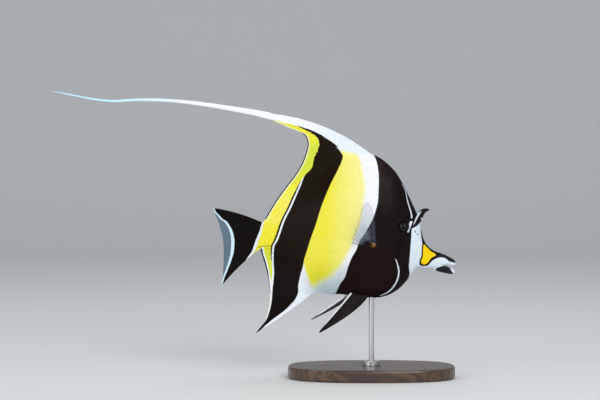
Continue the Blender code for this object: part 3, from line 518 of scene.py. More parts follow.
def relief(x, z, settings):
    """How far the skin stands out sideways, in millimetres, as a sum of: a lift that
    rises towards the free gill edge and drops at it, a groove behind that edge, a
    groove round the gill cover, a rim and a hollow round the eye, two pits with rims,
    and a pad that carries the pectoral fin. Each dies away with distance from its line."""
    gill = curve(GILL_OPENING, np.linspace(0, 1, LINE_POINTS))
    order = np.argsort(gill[:, 1])
    ahead = x - np.interp(z, gill[order, 1], gill[order, 0])
    near = distance_to(GILL_OPENING, x, z)
    lift = settings.gill_lift / MM * table(GILL_LIFT_HEIGHTS, z)
    lift = lift * np.clip(1 - near / GILL_LIFT_FADE, 0, 1) ** GILL_LIFT_CURVE
    lift = lift * smooth(ahead, *GILL_STEP)
    depth, width = GILL_GROOVE
    groove = depth * bell(near, width) * smooth(-ahead, *GILL_STEP) * table(GILL_GROOVE_HEIGHTS, z)
    depth, width = COVER_GROOVE
    out = lift - groove - depth * bell(distance_to(GILL_COVER_FRONT, x, z), width)
    radius = settings.eye_radius / MM
    away = np.hypot(x - EYE_AT[0], z - EYE_AT[1])
    height, width = EYE_RIM
    out = out + height * bell(away - radius - width, width)
    inner, outer = SOCKET_WALL
    out = out - SOCKET_DEPTH * (1 - smooth(away, radius + inner, radius + outer))
    for nx, nz in NOSTRILS:
        off = np.hypot(x - nx, z - nz)
        for height, radius, width in NOSTRIL_RIM_AND_PIT:
            out = out + height * bell(off - radius, width)
    pad = np.hypot((x - PECTORAL_PAD[0]) / PAD_SPREAD[0], (z - PECTORAL_PAD[1]) / PAD_SPREAD[1])
    return out + PAD_RISE * bell(pad, 1.0)


class Flank:
    """Half width of the skin, nearest row and share across it, over the side view, kept
    as tables on a square grid."""

    PITCH = 0.5
    CORNERS = ((0.0, 151.0), (-46.0, 67.0))  # least and most x, and the same of z
    PARTS = 12  # the grid is worked out in so many parts, to save memory
    MOST_ACROSS = 0.995

    def __init__(self, settings):
        self.rows = even_rows(RIBS, FLANK_ROWS)
        spans = [np.arange(low, high, self.PITCH) for low, high in self.CORNERS]
        x, z = np.meshgrid(*spans, indexing="ij")
        flat = np.array_split(np.stack([x.ravel(), z.ravel()], axis=1), self.PARTS)
        row, across = map(np.concatenate, zip(*(nearest_row(part, self.rows) for part in flat)))
        inside = np.clip(across, -self.MOST_ACROSS, self.MOST_ACROSS)
        width = side_width(self.rows[row], inside[:, None])
        self.width = width.reshape(x.shape) + relief(x, z, settings)
        self.across = across.reshape(x.shape)
        self.row = row.reshape(x.shape)

    def read(self, field, x, z):
        """A field at each (x, z): the mean of the four grid values round it, weighted."""
        i, j = (
            np.clip((at - low) / self.PITCH, 0, count - 1.001)
            for at, (low, _), count in zip((x, z), self.CORNERS, field.shape)
        )
        a, b = np.floor(i).astype(int), np.floor(j).astype(int)
        u, v = i - a, j - b
        low = field[a, b] * (1 - v) + field[a, b + 1] * v
        high = field[a + 1, b] * (1 - v) + field[a + 1, b + 1] * v
        return low * (1 - u) + high * u


def placed(points):
    """Fish points in millimetres, carried to the scene in metres: the tail end swings
    sideways by half of 1 - cos of its way along a slow wave, then all moves over the
    stand."""
    share = np.clip((SWING_FROM - points[..., 0]) / SWING_LENGTH, 0, None)
    y = points[..., 1] + SWING * (1 - np.cos(math.pi * share)) / 2
    out = np.stack([points[..., 0] - FISH_AHEAD, y, points[..., 2] + FISH_LIFT], axis=-1)
    return out * MM


def around(count):
    """Angles of so many even steps round a full turn."""
    return np.linspace(0, 2 * math.pi, count, endpoint=False)


# Mesh pieces

def grid_faces(rows, columns, closed=False, start=0):
    """Quads over a grid of points, row by row, joined round its columns if closed."""
    i = np.arange(rows - 1)[:, None]
    j = np.arange(columns if closed else columns - 1)[None, :]
    a, b = i * columns + j, i * columns + (j + 1) % columns
    quads = np.stack([a, b, b + columns, a + columns], axis=-1)
    return quads.reshape(-1, 4) + start


def add_piece(name, points, faces, material, replaced=(), uv=None, values=None):
    """Makes a mesh object of points in metres, with per-corner UV or per-point UV,
    point values and a material, and rides it on the fish's body."""
    mesh = bpy.data.meshes.new(name)
    mesh.from_pydata(np.asarray(points).reshape(-1, 3).tolist(), [], [list(f) for f in faces])
    if uv is not None:
        label, corners = uv
        if len(corners) != len(mesh.loops):
            index = np.empty(len(mesh.loops), np.int32)
            mesh.loops.foreach_get("vertex_index", index)
            corners = corners[index]
        layer = mesh.uv_layers.new(name=label)
        layer.data.foreach_set("uv", corners.astype(np.float32).ravel())
    for key, value in (values or {}).items():
        attribute = mesh.attributes.new(key, "FLOAT", "POINT")
        attribute.data.foreach_set("value", np.asarray(value, np.float32).ravel())
    mesh.shade_smooth()
    mesh.update()
    mesh.materials.append(material)
    piece = bpy.data.objects.new(name, mesh)
    bpy.context.scene.collection.objects.link(piece)
    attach(piece, "root")
    if replaced:
        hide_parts(*replaced)
    return piece


def capped(rings, start=0):
    """Faces of rings of points with flat ends."""
    count, sides = rings.shape[:2]
    faces = grid_faces(count, sides, True, start).tolist()
    for first in (start, start + (count - 1) * sides):
        faces.append(list(range(first, first + sides)))
    return faces


def add_solid(name, shells, material, replaced, uv=None):
    """A piece of closed shells, each given as rings of points in millimetres, with all
    of its faces turned out of the shapes that they bound."""
    faces, start = [], 0
    for rings in shells:
        faces += capped(rings, start)
        start += rings.shape[0] * rings.shape[1]
    points = placed(np.concatenate([rings.reshape(-1, 3) for rings in shells]))
    mesh = add_piece(name, points, faces, material, replaced, uv).data
    build = bmesh.new()
    build.from_mesh(mesh)
    bmesh.ops.recalc_face_normals(build, faces=build.faces)
    build.to_mesh(mesh)
    build.free()


def outward(points, faces):
    """The faces turned round if the closed shape they bound has a negative volume."""
    corner = points[faces[:, :3]]
    volume = np.einsum("ij,ij->", corner[:, 0], np.cross(corner[:, 1], corner[:, 2]))
    return faces[:, ::-1] if volume < 0 else faces


def lofted(ribs, mesh, lift=None, closer=None):
    """Rings of points round a body, up its right side and down its left. Each row runs
    straight from belly to back, with its points a little closer at both ends."""
    row_count, side_points = mesh
    rows = even_rows(ribs, row_count, closer)
    turn = np.linspace(0, math.pi, side_points)
    even = np.linspace(-1, 1, side_points)
    across = (EDGE_CROWDING * -np.cos(turn) + (1 - EDGE_CROWDING) * even)[None, :]
    share = (across + 1) / 2
    x = rows[:, 2:3] + (rows[:, 0:1] - rows[:, 2:3]) * share
    z = rows[:, 3:4] + (rows[:, 1:2] - rows[:, 3:4]) * share
    width = side_width(rows, across)
    if lift is not None:
        width = width + lift(x, z) * (1 - np.abs(across) ** RELIEF_REACH)
    right = np.stack([x, -width, z], axis=2)
    left = np.stack([x, width, z], axis=2)[:, ::-1]
    return np.concatenate([right, left], axis=1)


def unrolled(share, sides):
    """Per-corner map of a capped tube: u goes round it, on to 1 where the last face
    closes the ring, and v is the share along it."""
    i = np.arange(len(share) - 1)[:, None, None] + np.array([0, 0, 1, 1])
    j = np.arange(sides)[None, :, None] + np.array([0, 1, 1, 0])
    side = np.stack(np.broadcast_arrays(j / sides, share[i]), axis=-1).reshape(-1, 2)
    ring = np.arange(sides) / sides
    ends = [np.stack([ring, np.full(sides, end)], axis=1) for end in share[[0, -1]]]
    return np.concatenate([side, *ends])


# Fins

def sunk_edge(span, on_back):
    """The root line of a fin along the body's back or belly, sunk a little inside it."""
    rows = ribs_at(RIBS, np.linspace(*span, ROOT_POINTS))
    back, belly = rows[:, 0:2], rows[:, 2:4]
    edge, other = (back, belly) if on_back else (belly, back)
    return edge + unit(other - edge) * FIN_SINK


def fin_grid(root, margin, bow, columns, rows, lead=0.5):
    """(x, z) of a fin's middle surface: each ray is a parabola from root to margin,
    bowed sideways by a distance read from the bow table, most at the lead."""
    at = np.linspace(0, 1, columns)
    roots, tips = curve(root, at), curve(margin, at)
    bent = turned(unit(tips - roots)) * 2 * table(bow, at)[:, None]
    control = roots * (1 - lead) + tips * lead + bent
    v = np.linspace(0, 1, rows)[None, :, None]
    start, middle, end = roots[:, None], control[:, None], tips[:, None]
    return start * (1 - v) ** 2 + middle * 2 * v * (1 - v) + end * v**2


def run_out(grid):
    """Distance from the root along its ray, at each point of a fin's grid."""
    steps = np.linalg.norm(np.diff(grid, axis=1), axis=2)
    return np.pad(np.cumsum(steps, axis=1), ((0, 0), (1, 0)))


def ray_shape(u, v, branch):
    """Height of the ray relief, 0 to 1: a raised cosine along u in rays, which turns
    into one of twice the rate past `branch` of the way out, as soft rays divide."""
    one = np.clip(0.5 - 0.5 * np.cos(2 * math.pi * u), 0, 1) ** 2
    two = np.clip(0.5 - 0.5 * np.cos(4 * math.pi * u), 0, 1) ** 1.5
    divided = smooth(v, branch - BRANCH_SPREAD, branch + BRANCH_SPREAD)
    return one * (1 - divided) + BRANCH_HEIGHT * two * divided


def plate_half(grid, rays, branch, settings, root_half, margin_half=MARGIN_HALF):
    """Half thickness of a fin: a membrane that thins to its margin, rays raised on it,
    and a fillet that widens it by the root and dies away."""
    columns, rows = grid.shape[:2]
    u = np.linspace(0, rays, columns)[:, None]
    v = np.linspace(0, 1, rows)[None]
    plate = MEMBRANE_HALF + (margin_half - MEMBRANE_HALF) * v**2
    rise = settings.ray_rise / MM * np.clip(v / RAYS_FULL_AT, 0, 1) * (1 - RAYS_LOSE * v)
    past_root = np.clip(run_out(grid) - FIN_SINK, 0, None)
    fillet = (root_half - MEMBRANE_HALF) * np.exp(-((past_root / FILLET_REACH) ** FILLET_CURVE))
    return plate + fillet + rise * ray_shape(u, v, branch)


def fin_plate(name, grid, y, half, rays, material, replaced, normal=(0.0, 1.0, 0.0)):
    """A closed plate: the middle surface offset by -half and +half along its normal,
    joined round its border. Its UV map counts rays along u and runs from root to margin
    along v; two values give the distances to the margin and along the ray."""
    columns, rows = half.shape
    middle = np.stack([grid[..., 0], np.broadcast_to(y, half.shape), grid[..., 1]], axis=2)
    off = half[..., None] * np.asarray(normal)
    points = placed(np.concatenate([(middle - off).reshape(-1, 3), (middle + off).reshape(-1, 3)]))
    near = grid_faces(columns, rows)
    far = near[:, ::-1] + columns * rows
    edge = np.concatenate([
        np.arange(columns) * rows,
        (columns - 1) * rows + np.arange(1, rows),
        (np.arange(columns - 2, -1, -1)) * rows + rows - 1,
        np.arange(rows - 2, 0, -1),
    ])
    after = np.roll(edge, -1)
    rim = np.stack([after, edge, edge + columns * rows, after + columns * rows], axis=1)
    faces = outward(points, np.concatenate([near, far, rim]))
    u, v = np.meshgrid(np.linspace(0, rays, columns), np.linspace(0, 1, rows), indexing="ij")
    uv = np.tile(np.stack([u, v], axis=2).reshape(-1, 2), (2, 1))
    from_margin = distance_to(grid[::2, -1], grid[..., 0], grid[..., 1]).ravel()
    from_root = run_out(grid).ravel()
    values = {"from_margin": np.tile(from_margin, 2), "from_root": np.tile(from_root, 2)}
    piece = add_piece(name, points, faces, material, replaced, ("rays", uv), values)
    piece.data.set_sharp_from_angle(angle=SHARP_FROM)


# Shader trees

class Tree:
    """Short calls that build a node tree. Each value is a socket or a plain value."""

    def __init__(self, tree):
        self.tree = tree

    def put(self, socket, value):
        """Links or sets one input. A plain colour has three numbers."""
        if isinstance(value, bpy.types.NodeSocket):
            self.tree.links.new(value, socket)
        else:
            socket.default_value = (*value, 1.0) if socket.type == "RGBA" else value

    def feed(self, node, **values):
        """Feeds inputs by their labels, written with _ for each space."""
        for label, value in values.items():
            self.put(node.inputs[label.replace("_", " ")], value)

    def node(self, kind, settings=None, **values):
        node = self.tree.nodes.new("ShaderNode" + kind)
        for key, value in (settings or {}).items():
            setattr(node, key, value)
        self.feed(node, **values)
        return node

    def in_order(self, node, *values):
        """Feeds the first inputs of a node, and gives its first output."""
        for socket, value in zip(node.inputs, values):
            self.put(socket, value)
        return node.outputs[0]

    def math(self, operation, *values):
        return self.in_order(self.node("Math", {"operation": operation}), *values)

    def chain(self, operation, values):
        return functools.reduce(lambda a, b: self.math(operation, a, b), values)

    def add(self, *values):
        return self.chain("ADD", values)

    def sub(self, a, b):
        return self.math("SUBTRACT", a, b)

    def mul(self, *values):
        return self.chain("MULTIPLY", values)

    def most(self, *values):
        return self.chain("MAXIMUM", values)

    def length(self, a, b):
        return self.math("SQRT", self.add(self.mul(a, a), self.mul(b, b)))

    def apart(self, a, b):
        return self.math("ABSOLUTE", self.sub(a, b))

    def ramp(self, value, low, high, out_low=0.0, out_high=1.0, kind="SMOOTHSTEP"):
        node = self.node("MapRange", {"interpolation_type": kind})
        return self.in_order(node, value, low, high, out_low, out_high)

    def past(self, a, b, soft=0.25):
        """1 where a is more than b, with an edge soft on both sides."""
        return self.ramp(self.sub(a, b), -soft, soft)

    def read(self, points, at, straight=False):
        """The second number of the points' pairs, read at the first."""
        points = sorted(points)
        low, high = points[0][0], points[-1][0]
        values = [p[1] for p in points]
        least, most = min(values) - 1, max(values) + 1
        node = self.node("FloatCurve", Value=self.ramp(at, low, high, kind="LINEAR"))
        line = node.mapping.curves[0]
        while len(line.points) < len(points):
            line.points.new(0.5, 0.5)
        for point, (place, value) in zip(line.points, points):
            point.location = ((place - low) / (high - low), (value - least) / (most - least))
            point.handle_type = "VECTOR" if straight else "AUTO"
        node.mapping.update()
        return self.ramp(node.outputs[0], 0.0, 1.0, least, most, "LINEAR")

    def side(self, line, z):
        """x of a line given as (x, z) points down the side, read at a height."""
        return self.read([(b, a) for a, b in line], z)

    def mix(self, share, a, b, blend="MIX"):
        node = self.node("Mix", {"data_type": "RGBA", "blend_type": blend})
        for place, value in ((0, share), (6, a), (7, b)):  # the factor and the two colours
            self.put(node.inputs[place], value)
        return node.outputs[2]

    def laid(self, paint, *layers):
        """The paint with each (share, colour) laid over it in turn."""
        for share, tint in layers:
            paint = self.mix(share, paint, tint)
        return paint

    def noise(self, scale, detail, vector, roughness=0.5):
        values = {"Scale": scale, "Detail": detail, "Vector": vector, "Roughness": roughness}
        return self.node("TexNoise", **values).outputs[0]

    def noise_along(self, detail, value):
        """Noise that changes along one value only."""
        one = {"noise_dimensions": "1D"}
        return self.node("TexNoise", one, Scale=1.0, Detail=detail, W=value).outputs[0]

    def vector(self, operation, a, b):
        return self.in_order(self.node("VectorMath", {"operation": operation}), a, b)

    def mapped(self, scale, turn=(0.0, 0.0, 0.0)):
        """Object coordinates, stretched and turned."""
        return self.node("Mapping", Vector=self.here(), Scale=scale, Rotation=turn).outputs[0]

    def parts(self, vector):
        return self.node("SeparateXYZ", Vector=vector).outputs

    def here(self):
        return self.node("TexCoord").outputs["Object"]

    def uv(self, name):
        return self.node("UVMap", {"uv_map": name}).outputs[0]

    def attribute(self, name):
        return self.node("Attribute", {"attribute_name": name}).outputs["Fac"]

    def bump(self, height, distance, strength):
        return self.node("Bump", Height=height, Distance=distance, Strength=strength).outputs[0]

    def group(self, tree, **values):
        """The outputs of a shared group, fed by name."""
        return self.node("Group", {"node_tree": tree}, **values).outputs

    def fish_place(self, position):
        """x and z of a point of the scene, in the fish's millimetres."""
        x, _, z = self.parts(position)
        return self.add(self.mul(x, 1 / MM), FISH_AHEAD), self.sub(self.mul(z, 1 / MM), FISH_LIFT)


def new_group(name, inputs, outputs):
    """An empty shader group with named sockets, its tree, and the sockets of its ends."""
    group = bpy.data.node_groups.new(name, "ShaderNodeTree")
    for way, sockets in (("INPUT", inputs), ("OUTPUT", outputs)):
        for label, kind in sockets.items():
            group.interface.new_socket(label, in_out=way, socket_type="NodeSocket" + kind)
    given, out = (group.nodes.new("NodeGroup" + end) for end in ("Input", "Output"))
    return group, Tree(group), given.outputs, out


def new_material(name, **constants):
    """A material with one Principled shader, its plain values set, and its tree."""
    material = bpy.data.materials.new(name)
    material.use_nodes = True
    t, shader = Tree(material.node_tree), material.node_tree.nodes["Principled BSDF"]
    t.feed(shader, **constants)
    return material, t, shader


def markings_group(look):
    """The fish's paint: every band and line, worked out from the side view alone. Each
    edge is x read off a smooth curve at the point's height, and each colour is laid over
    those before it by how far the point is past its edges. Places are in millimetres."""
    group, t, given, out = new_group(
        "fish markings", {"Position": "Vector", "Wobble": "Float"},
        {"Color": "Color", "Dark": "Float", "Membrane": "Float"},
    )
    here = given["Position"]
    x, z = t.fish_place(here)
    grain = t.noise(900.0, 2.0, here)
    wobble = t.mul(given["Wobble"], t.ramp(z, 56.0, 66.0, 0.15, 0.9))
    x = t.add(x, wobble, t.mul(t.sub(grain, 0.5), 0.5))
    broad, fine = t.noise(34.0, 3.0, here), t.noise(240.0, 3.0, here)
    streaks = t.noise(1.0, 3.0, t.vector("MULTIPLY", here, (420.0, 420.0, 50.0)))
    patchy = t.ramp(broad, 0.4, 0.75)

    def stroke(widths, middle, soft=0.2):
        """1 within the half width read from widths, on both sides of the middle line."""
        return t.past(t.read(widths, z, straight=True), t.apart(x, middle), soft)

    # Blacks and white
    high = t.mul(
        t.ramp(z, 4.0, 52.0), t.ramp(streaks, 0.35, 0.7, 0.45, 1.0),
        t.ramp(x, 88.0, 108.0, 1.0, 0.3),
    )
    black = t.mix(t.most(high, t.mul(patchy, 0.35)), look.black, look.brown)
    black = t.mix(t.ramp(fine, 0.45, 0.75, 0.0, 0.15), black, look.brown)
    earth = t.mix(t.ramp(z, -38.0, 5.0), look.black, look.umber)
    earth = t.mix(t.mul(patchy, 0.25), earth, look.brown)
    white = t.mix(t.ramp(fine, 0.4, 0.8, 0.0, 0.25), look.white, look.dull_white)

    # Yellow flank on white, both darkened by painted shade towards the belly
    ahead = t.sub(t.side(YELLOW_FRONT, z), x)
    pale = t.add(t.ramp(ahead, 3.0, 28.0, 1.0, 0.0, "LINEAR"), t.mul(t.sub(broad, 0.5), 0.7))
    flank = t.mul(
        t.ramp(ahead, -2.0, 2.4),
        t.ramp(t.sub(z, t.read(YELLOW_FOOT, x)), -4.6, 5.4),
        t.past(YELLOW_TOP, t.add(z, t.mul(x, YELLOW_TOP_SLOPE)), 2.0),
        t.past(YELLOW_STOPS, x, 1.5),
    )
    # Painted shade: the belly darkens downwards ahead of x 34 to 50, less on the yellow
    shade = t.mul(
        t.ramp(z, -37.0, -8.0, 1.0, 0.0), t.ramp(x, 34.0, 50.0), t.sub(1.0, t.mul(flank, 0.55))
    )
    paint = t.mix(flank, white, t.mix(pale, look.yellow, look.pale_yellow))
    paint = t.mix(shade, paint, look.belly_shade, "MULTIPLY")

    # Rear yellow, on the tail end and the dorsal fin, and a painted shadow under the stalk
    two_rear = t.side(BAND_TWO_REAR, z)
    behind = t.past(two_rear, x, 0.2)
    upper = t.mul(t.past(t.read(STREAK_TOP, x), z, 0.5), t.past(x, REAR_STARTS, 9.0))
    lower = t.mul(t.past(REAR_HEIGHTS[1], z, 0.5), t.past(z, REAR_HEIGHTS[0], 3.0))
    gold = t.mul(t.ramp(z, 8.0, 20.0), t.ramp(z, 28.0, 44.0, 1.0, 0.0), t.ramp(broad, 0.3, 0.6))
    gold = t.laid(
        look.rear_yellow,
        (gold, look.rear_pale),
        (t.ramp(z, 34.0, 56.0), look.lime_yellow),
        (t.ramp(z, 67.0, 75.0, 0.0, 0.7), look.rear_yellow),
        (t.ramp(z, -12.0, -4.0, 1.0, 0.0), look.lime_yellow),
    )
    # Painted shadow: a dark olive line where the stalk's underside meets the anal fin
    under = t.mul(
        t.past(0.25, t.apart(z, t.read(UNDER_STALK, x)), 0.25),
        t.past(x, STALK_SPAN[0], 0.6), t.past(STALK_SPAN[1], x, 0.8), 0.75,
    )

    # Rear black band with its white and dark lines
    two = t.mul(
        t.past(x, two_rear, 0.25), t.past(t.side(BAND_TWO_FRONT, z), x, 0.3),
        t.past(BAND_TWO_TOP, z, 0.3),
    )
    below = t.past(LINES_TOP, z, 1.0)
    dark_from = t.sub(
        t.sub(two_rear, t.read(WHITE_LINE_WIDTH, z, straight=True)),
        t.read(DARK_LINE_WIDTH, z, straight=True),
    )
    dark = t.mul(
        t.past(x, dark_from, 0.2), behind, below,
        t.past(z, DARK_HEIGHTS[0], 0.8), t.past(DARK_HEIGHTS[1], z, 1.0),
    )

    # Anal fin's pale hind edge, then the tail with its crescent and clear border
    anal = t.side(ANAL_EDGE, z)
    low = t.mul(t.past(ANAL_HEIGHTS[1], z, 0.4), t.past(z, ANAL_HEIGHTS[0], 2.0))
    hind = t.mul(
        t.past(anal, x, 0.2), low, t.past(x, ANAL_CORNER[0], 0.3), t.past(ANAL_CORNER[1], z, 0.4)
    )
    tail_line, crescent = t.side(TAIL_LINE, z), t.side(CRESCENT, z)
    on_tail = t.past(TAIL_TOP, z, 1.0)
    tail = t.mul(t.past(tail_line, x, 0.2), on_tail)
    film = t.mul(t.past(crescent, x, 0.25), on_tail)
    bright = t.mul(stroke(CRESCENT_WIDTH, crescent, 0.25), on_tail)

    # Front black band, with the face, saddle and jaw on it
    one = t.past(x, t.side(BAND_ONE_REAR, z), 0.3)
    throat = t.mul(t.past(t.side(GILL_ARC, z), x, 2.0), t.past(0.0, z, 8.0), one, 0.6)
    thin_lines = [
        t.mul(
            stroke(widths, t.side(middle, z), 0.22), t.past(widths[0][0], z, 0.2),
            t.past(z, widths[-1][0], 0.2), t.past(x, THIN_LINES_FROM, 1.0),
        )
        for middle, widths in ((GILL_ARC, GILL_ARC_WIDTH), (BROW, BROW_WIDTH))
    ]
    slate = t.mul(t.past(x, SLATE_CORNER[0], 1.0), t.past(z, SLATE_CORNER[1], 1.0))
    face = t.mul(
        t.past(x, t.side(FACE_REAR, z)), t.past(t.side(FACE_FRONT, z), x),
        t.past(FACE_TOP, z, 0.3),
    )
    snout = t.mul(t.past(t.read(SNOUT_WHITE_TOP, x), z, 0.3), t.past(x, SNOUT_FROM, 0.4))
    mottled = t.mix(t.ramp(grain, 0.5, 0.75, 0.0, 0.4), look.face, look.dull_face)
    rim, saddle = (
        t.mul(
            t.past(x, t.side(rear, z), 0.2), t.past(t.side(front, z), x, 0.2),
            t.past(top, z, 0.2), t.past(z, foot, 0.2),
        )
        for rear, front, (foot, top) in (
            (BORDER_REAR, BORDER_FRONT, BORDER_HEIGHTS),
            (SADDLE_REAR, SADDLE_FRONT, SADDLE_HEIGHTS),
        )
    )
    jaw = t.mul(t.past(t.read(MOUTH, x), z, 0.15), t.past(x, JAW_FROM, 0.8))
    lip = t.mul(jaw, t.past(t.add(x, t.mul(z, LIP_SLOPE)), LIP_FROM, 0.4))
    # Painted shade: the nostril pits darkened
    pits = [
        (t.mul(t.past(0.7, t.length(t.sub(x, nx), t.sub(z, nz)), 0.3), 0.6), look.black)
        for nx, nz in NOSTRILS
    ]
    root = t.length(t.mul(t.sub(x, PECTORAL_PAD[0]), 0.36), t.sub(z, PECTORAL_PAD[1] + 0.1))
    pad = t.mul(t.past(0.95, root, 0.4), t.ramp(x, 84.5, 88.5), 0.85)

    paint = t.laid(
        paint,
        (t.mul(behind, t.most(upper, lower)), gold),
        (under, look.stalk_shade),
        (two, earth),
        (dark, earth),
        (t.mul(stroke(WHITE_LINE_WIDTH, two_rear), below), white),
        (hind, look.slate),
        (t.mul(t.past(0.5, t.apart(anal, x), 0.2), low), white),
        (tail, look.black),
        (t.mul(stroke(TAIL_LINE_WIDTH, tail_line), on_tail, t.past(z, TAIL_LINE_FOOT, 0.5)), white),
        (film, look.membrane),
        (bright, look.crescent),
        (one, black),
        (throat, look.maroon),
        *((line, look.face) for line in thin_lines),
        (slate, look.slate),
        (t.most(face, snout), mottled),
        (rim, look.black),
        (saddle, look.orange),
        (jaw, look.slate),
        (lip, look.face),
        *pits,
        (pad, look.root_orange),
    )
    dark = t.most(one, two, tail)
    t.feed(out, Color=paint, Dark=dark, Membrane=t.mul(film, t.sub(1.0, bright)))
    return group


def rays_group():
    """Relief and raggedness of fin rays from the rays map: a raised cosine along u, and
    values that change from ray to ray."""
    group, t, given, out = new_group(
        "fin rays", {"Rays": "Vector", "Branch": "Float"},
        {"Ridge": "Float", "Wobble": "Float", "Tone": "Float"},
    )
    u, v, _ = t.parts(given["Rays"])
    branch = given["Branch"]
    one, two = (
        t.sub(0.5, t.mul(t.math("COSINE", t.mul(u, waves * 2 * math.pi)), 0.5)) for waves in (1, 2)
    )
    share = t.ramp(v, t.sub(branch, BRANCH_SPREAD), t.add(branch, BRANCH_SPREAD))
    wobble = t.mul(t.sub(t.noise_along(1.0, t.mul(u, 1.7)), 0.5), 2.2)
    ridge = t.add(t.mul(one, one, t.sub(1.0, share)), t.mul(two, share))
    t.feed(out, Ridge=ridge, Wobble=wobble, Tone=t.noise_along(2.0, t.mul(u, 0.8)))
    return group


def skin_material(look, markings, name, bumpy):
    """Satin painted skin: the markings, with a fine leathery bump where the skin is bare
    and a tone of its own on each scale."""
    material, t, shader = new_material(
        name, Coat_Weight=0.015, Coat_Roughness=0.2, Specular_IOR_Level=0.045
    )
    here = t.here()
    marks = t.group(markings, Position=here)
    paint = marks["Color"]
    if not bumpy:
        tone = t.ramp(t.attribute("tone"), 0.0, 1.0, 0.0, look.scale_tone, "LINEAR")
        paint = t.mix(tone, paint, (0.0, 0.0, 0.0))
    rough = t.add(t.mul(t.noise(300.0, 2.0, here), 0.16), t.ramp(marks["Dark"], 0, 1, 0.36, 0.3))
    height = t.noise(1600.0, 3.0, here)
    if bumpy:
        cells = t.node("TexVoronoi", {"feature": "SMOOTH_F1"}, Vector=here, Scale=1150.0)
        height = t.sub(height, cells.outputs["Distance"])
    bump = t.bump(height, 0.00012 if bumpy else 0.00005, 0.6)
    t.feed(shader, Base_Color=paint, Roughness=rough, Normal=bump)
    return material


def fin_material(look, markings, rays, name, clear=0.0, edge=None, branch=0.6, wobble=1.0):
    """A rayed fin in the fish's markings: the bands step from ray to ray, the membrane
    between rays is a little darker, partly its own tone and partly painted shade between
    the raised rays, and what the markings call membrane is see-through.
    edge gives the height below which the margin is lined, and how far from the margin
    its dark and its pale line reach."""
    material, t, shader = new_material(
        name, Coat_Weight=0.01, Coat_Roughness=0.3, Specular_IOR_Level=0.045
    )
    ray = t.group(rays, Rays=t.uv("rays"), Branch=branch)
    marks = t.group(markings, Position=t.here(), Wobble=t.mul(ray["Wobble"], wobble))
    paint = marks["Color"]
    blue = t.node("SeparateColor", Color=paint).outputs["Blue"]
    v = t.parts(t.uv("rays"))[1]
    # Partly the membrane's own tone, partly painted shade in the grooves between raised rays
    gap = t.mul(
        t.sub(1.0, ray["Ridge"]), t.add(0.3, ray["Tone"]), t.ramp(v, 0.3, 0.85, 1.0, 0.1),
        t.ramp(blue, 0.3, 0.8),
    )
    paint = t.mix(gap, paint, look.between_rays, "MULTIPLY")
    if edge:
        top, dark_reach, pale_reach = edge
        off = t.attribute("from_margin")
        z = t.fish_place(t.here())[1]
        lined = t.past(top, z, 2.0)
        paint = t.laid(
            paint,
            (t.mul(t.past(top + 8.5, z, 3.0), t.past(dark_reach, off), 0.7), look.edge_white),
            (t.mul(t.past(pale_reach, off), lined), look.edge_white),
            (t.mul(t.past(dark_reach, off, 0.15), lined), look.slate),
        )
    if clear:
        t.feed(shader, Alpha=t.sub(1.0, t.mul(marks["Membrane"], clear)))
    rough = t.add(0.4, t.mul(ray["Tone"], 0.15))
    t.feed(shader, Base_Color=paint, Roughness=rough, Normal=fine_bump(t))
    return material


def fine_bump(t):
    """The fins' finest grain."""
    return t.bump(t.noise(1400.0, 2.0, t.here()), 0.00005, 0.5)


def clear_fin_material(look, rays, name):
    """The pectoral fin: a dusky see-through membrane that clears towards its hind edge,
    fine pale rays, dark along the front edge and the margin, dark streaks with painted
    glints between them near the root of the hind rays, and an orange, fleshy root."""
    material, t, shader = new_material(
        name, Roughness=0.35, Coat_Weight=0.1, Coat_Roughness=0.2, Specular_IOR_Level=0.08
    )
    ridge = t.group(rays, Rays=t.uv("rays"), Branch=PECTORAL_BRANCH)["Ridge"]
    u = t.parts(t.uv("rays"))[0]
    off, margin = t.attribute("from_root"), t.attribute("from_margin")
    wave = t.math("SINE", t.add(t.mul(u, 4.3), t.mul(t.noise(260.0, 2.0, t.here()), 3.0)))
    zone = t.mul(t.ramp(u, 4.0, 9.0), t.ramp(off, 3.0, 6.0), t.ramp(off, 10.0, 24.0, 1.0, 0.0))
    comb = t.mul(zone, t.ramp(wave, 0.1, 0.9), 0.55)
    # Painted glints: pale streaks between the dark ones, as light caught on the membrane
    glint = t.mul(zone, t.ramp(wave, -0.8, 0.1, 1.0, 0.0), 0.6)
    hem = t.mul(t.past(0.25, margin, 0.15), t.ramp(u, 5.0, 9.0, 0.8, 0.12))
    front = t.mul(t.ramp(u, 0.2, 0.7, 0.7, 0.0), t.ramp(off, 4.0, 9.0))
    dark = t.most(comb, hem, front)
    root = t.ramp(off, 2.1, 3.4, 1.0, 0.0)
    flesh = t.mix(t.ramp(u, 2.0, 6.0), look.root_gold, look.root_orange)
    flesh = t.mix(t.ramp(u, 6.0, 12.0), flesh, look.maroon)
    paint = t.laid(
        look.clear_fin,
        (ridge, look.clear_ray), (dark, look.slate), (glint, look.crescent), (root, flesh),
    )
    clears = t.ramp(t.ramp(u, 5.0, 15.0), 0.0, 1.0, 1.0, 0.45)
    film = t.mul(t.add(0.09, t.mul(ridge, 0.09)), clears)
    film = t.add(film, t.mul(t.most(dark, glint), 0.42))
    t.feed(shader, Base_Color=paint, Alpha=t.math("MINIMUM", t.most(film, root), 1.0))
    return material


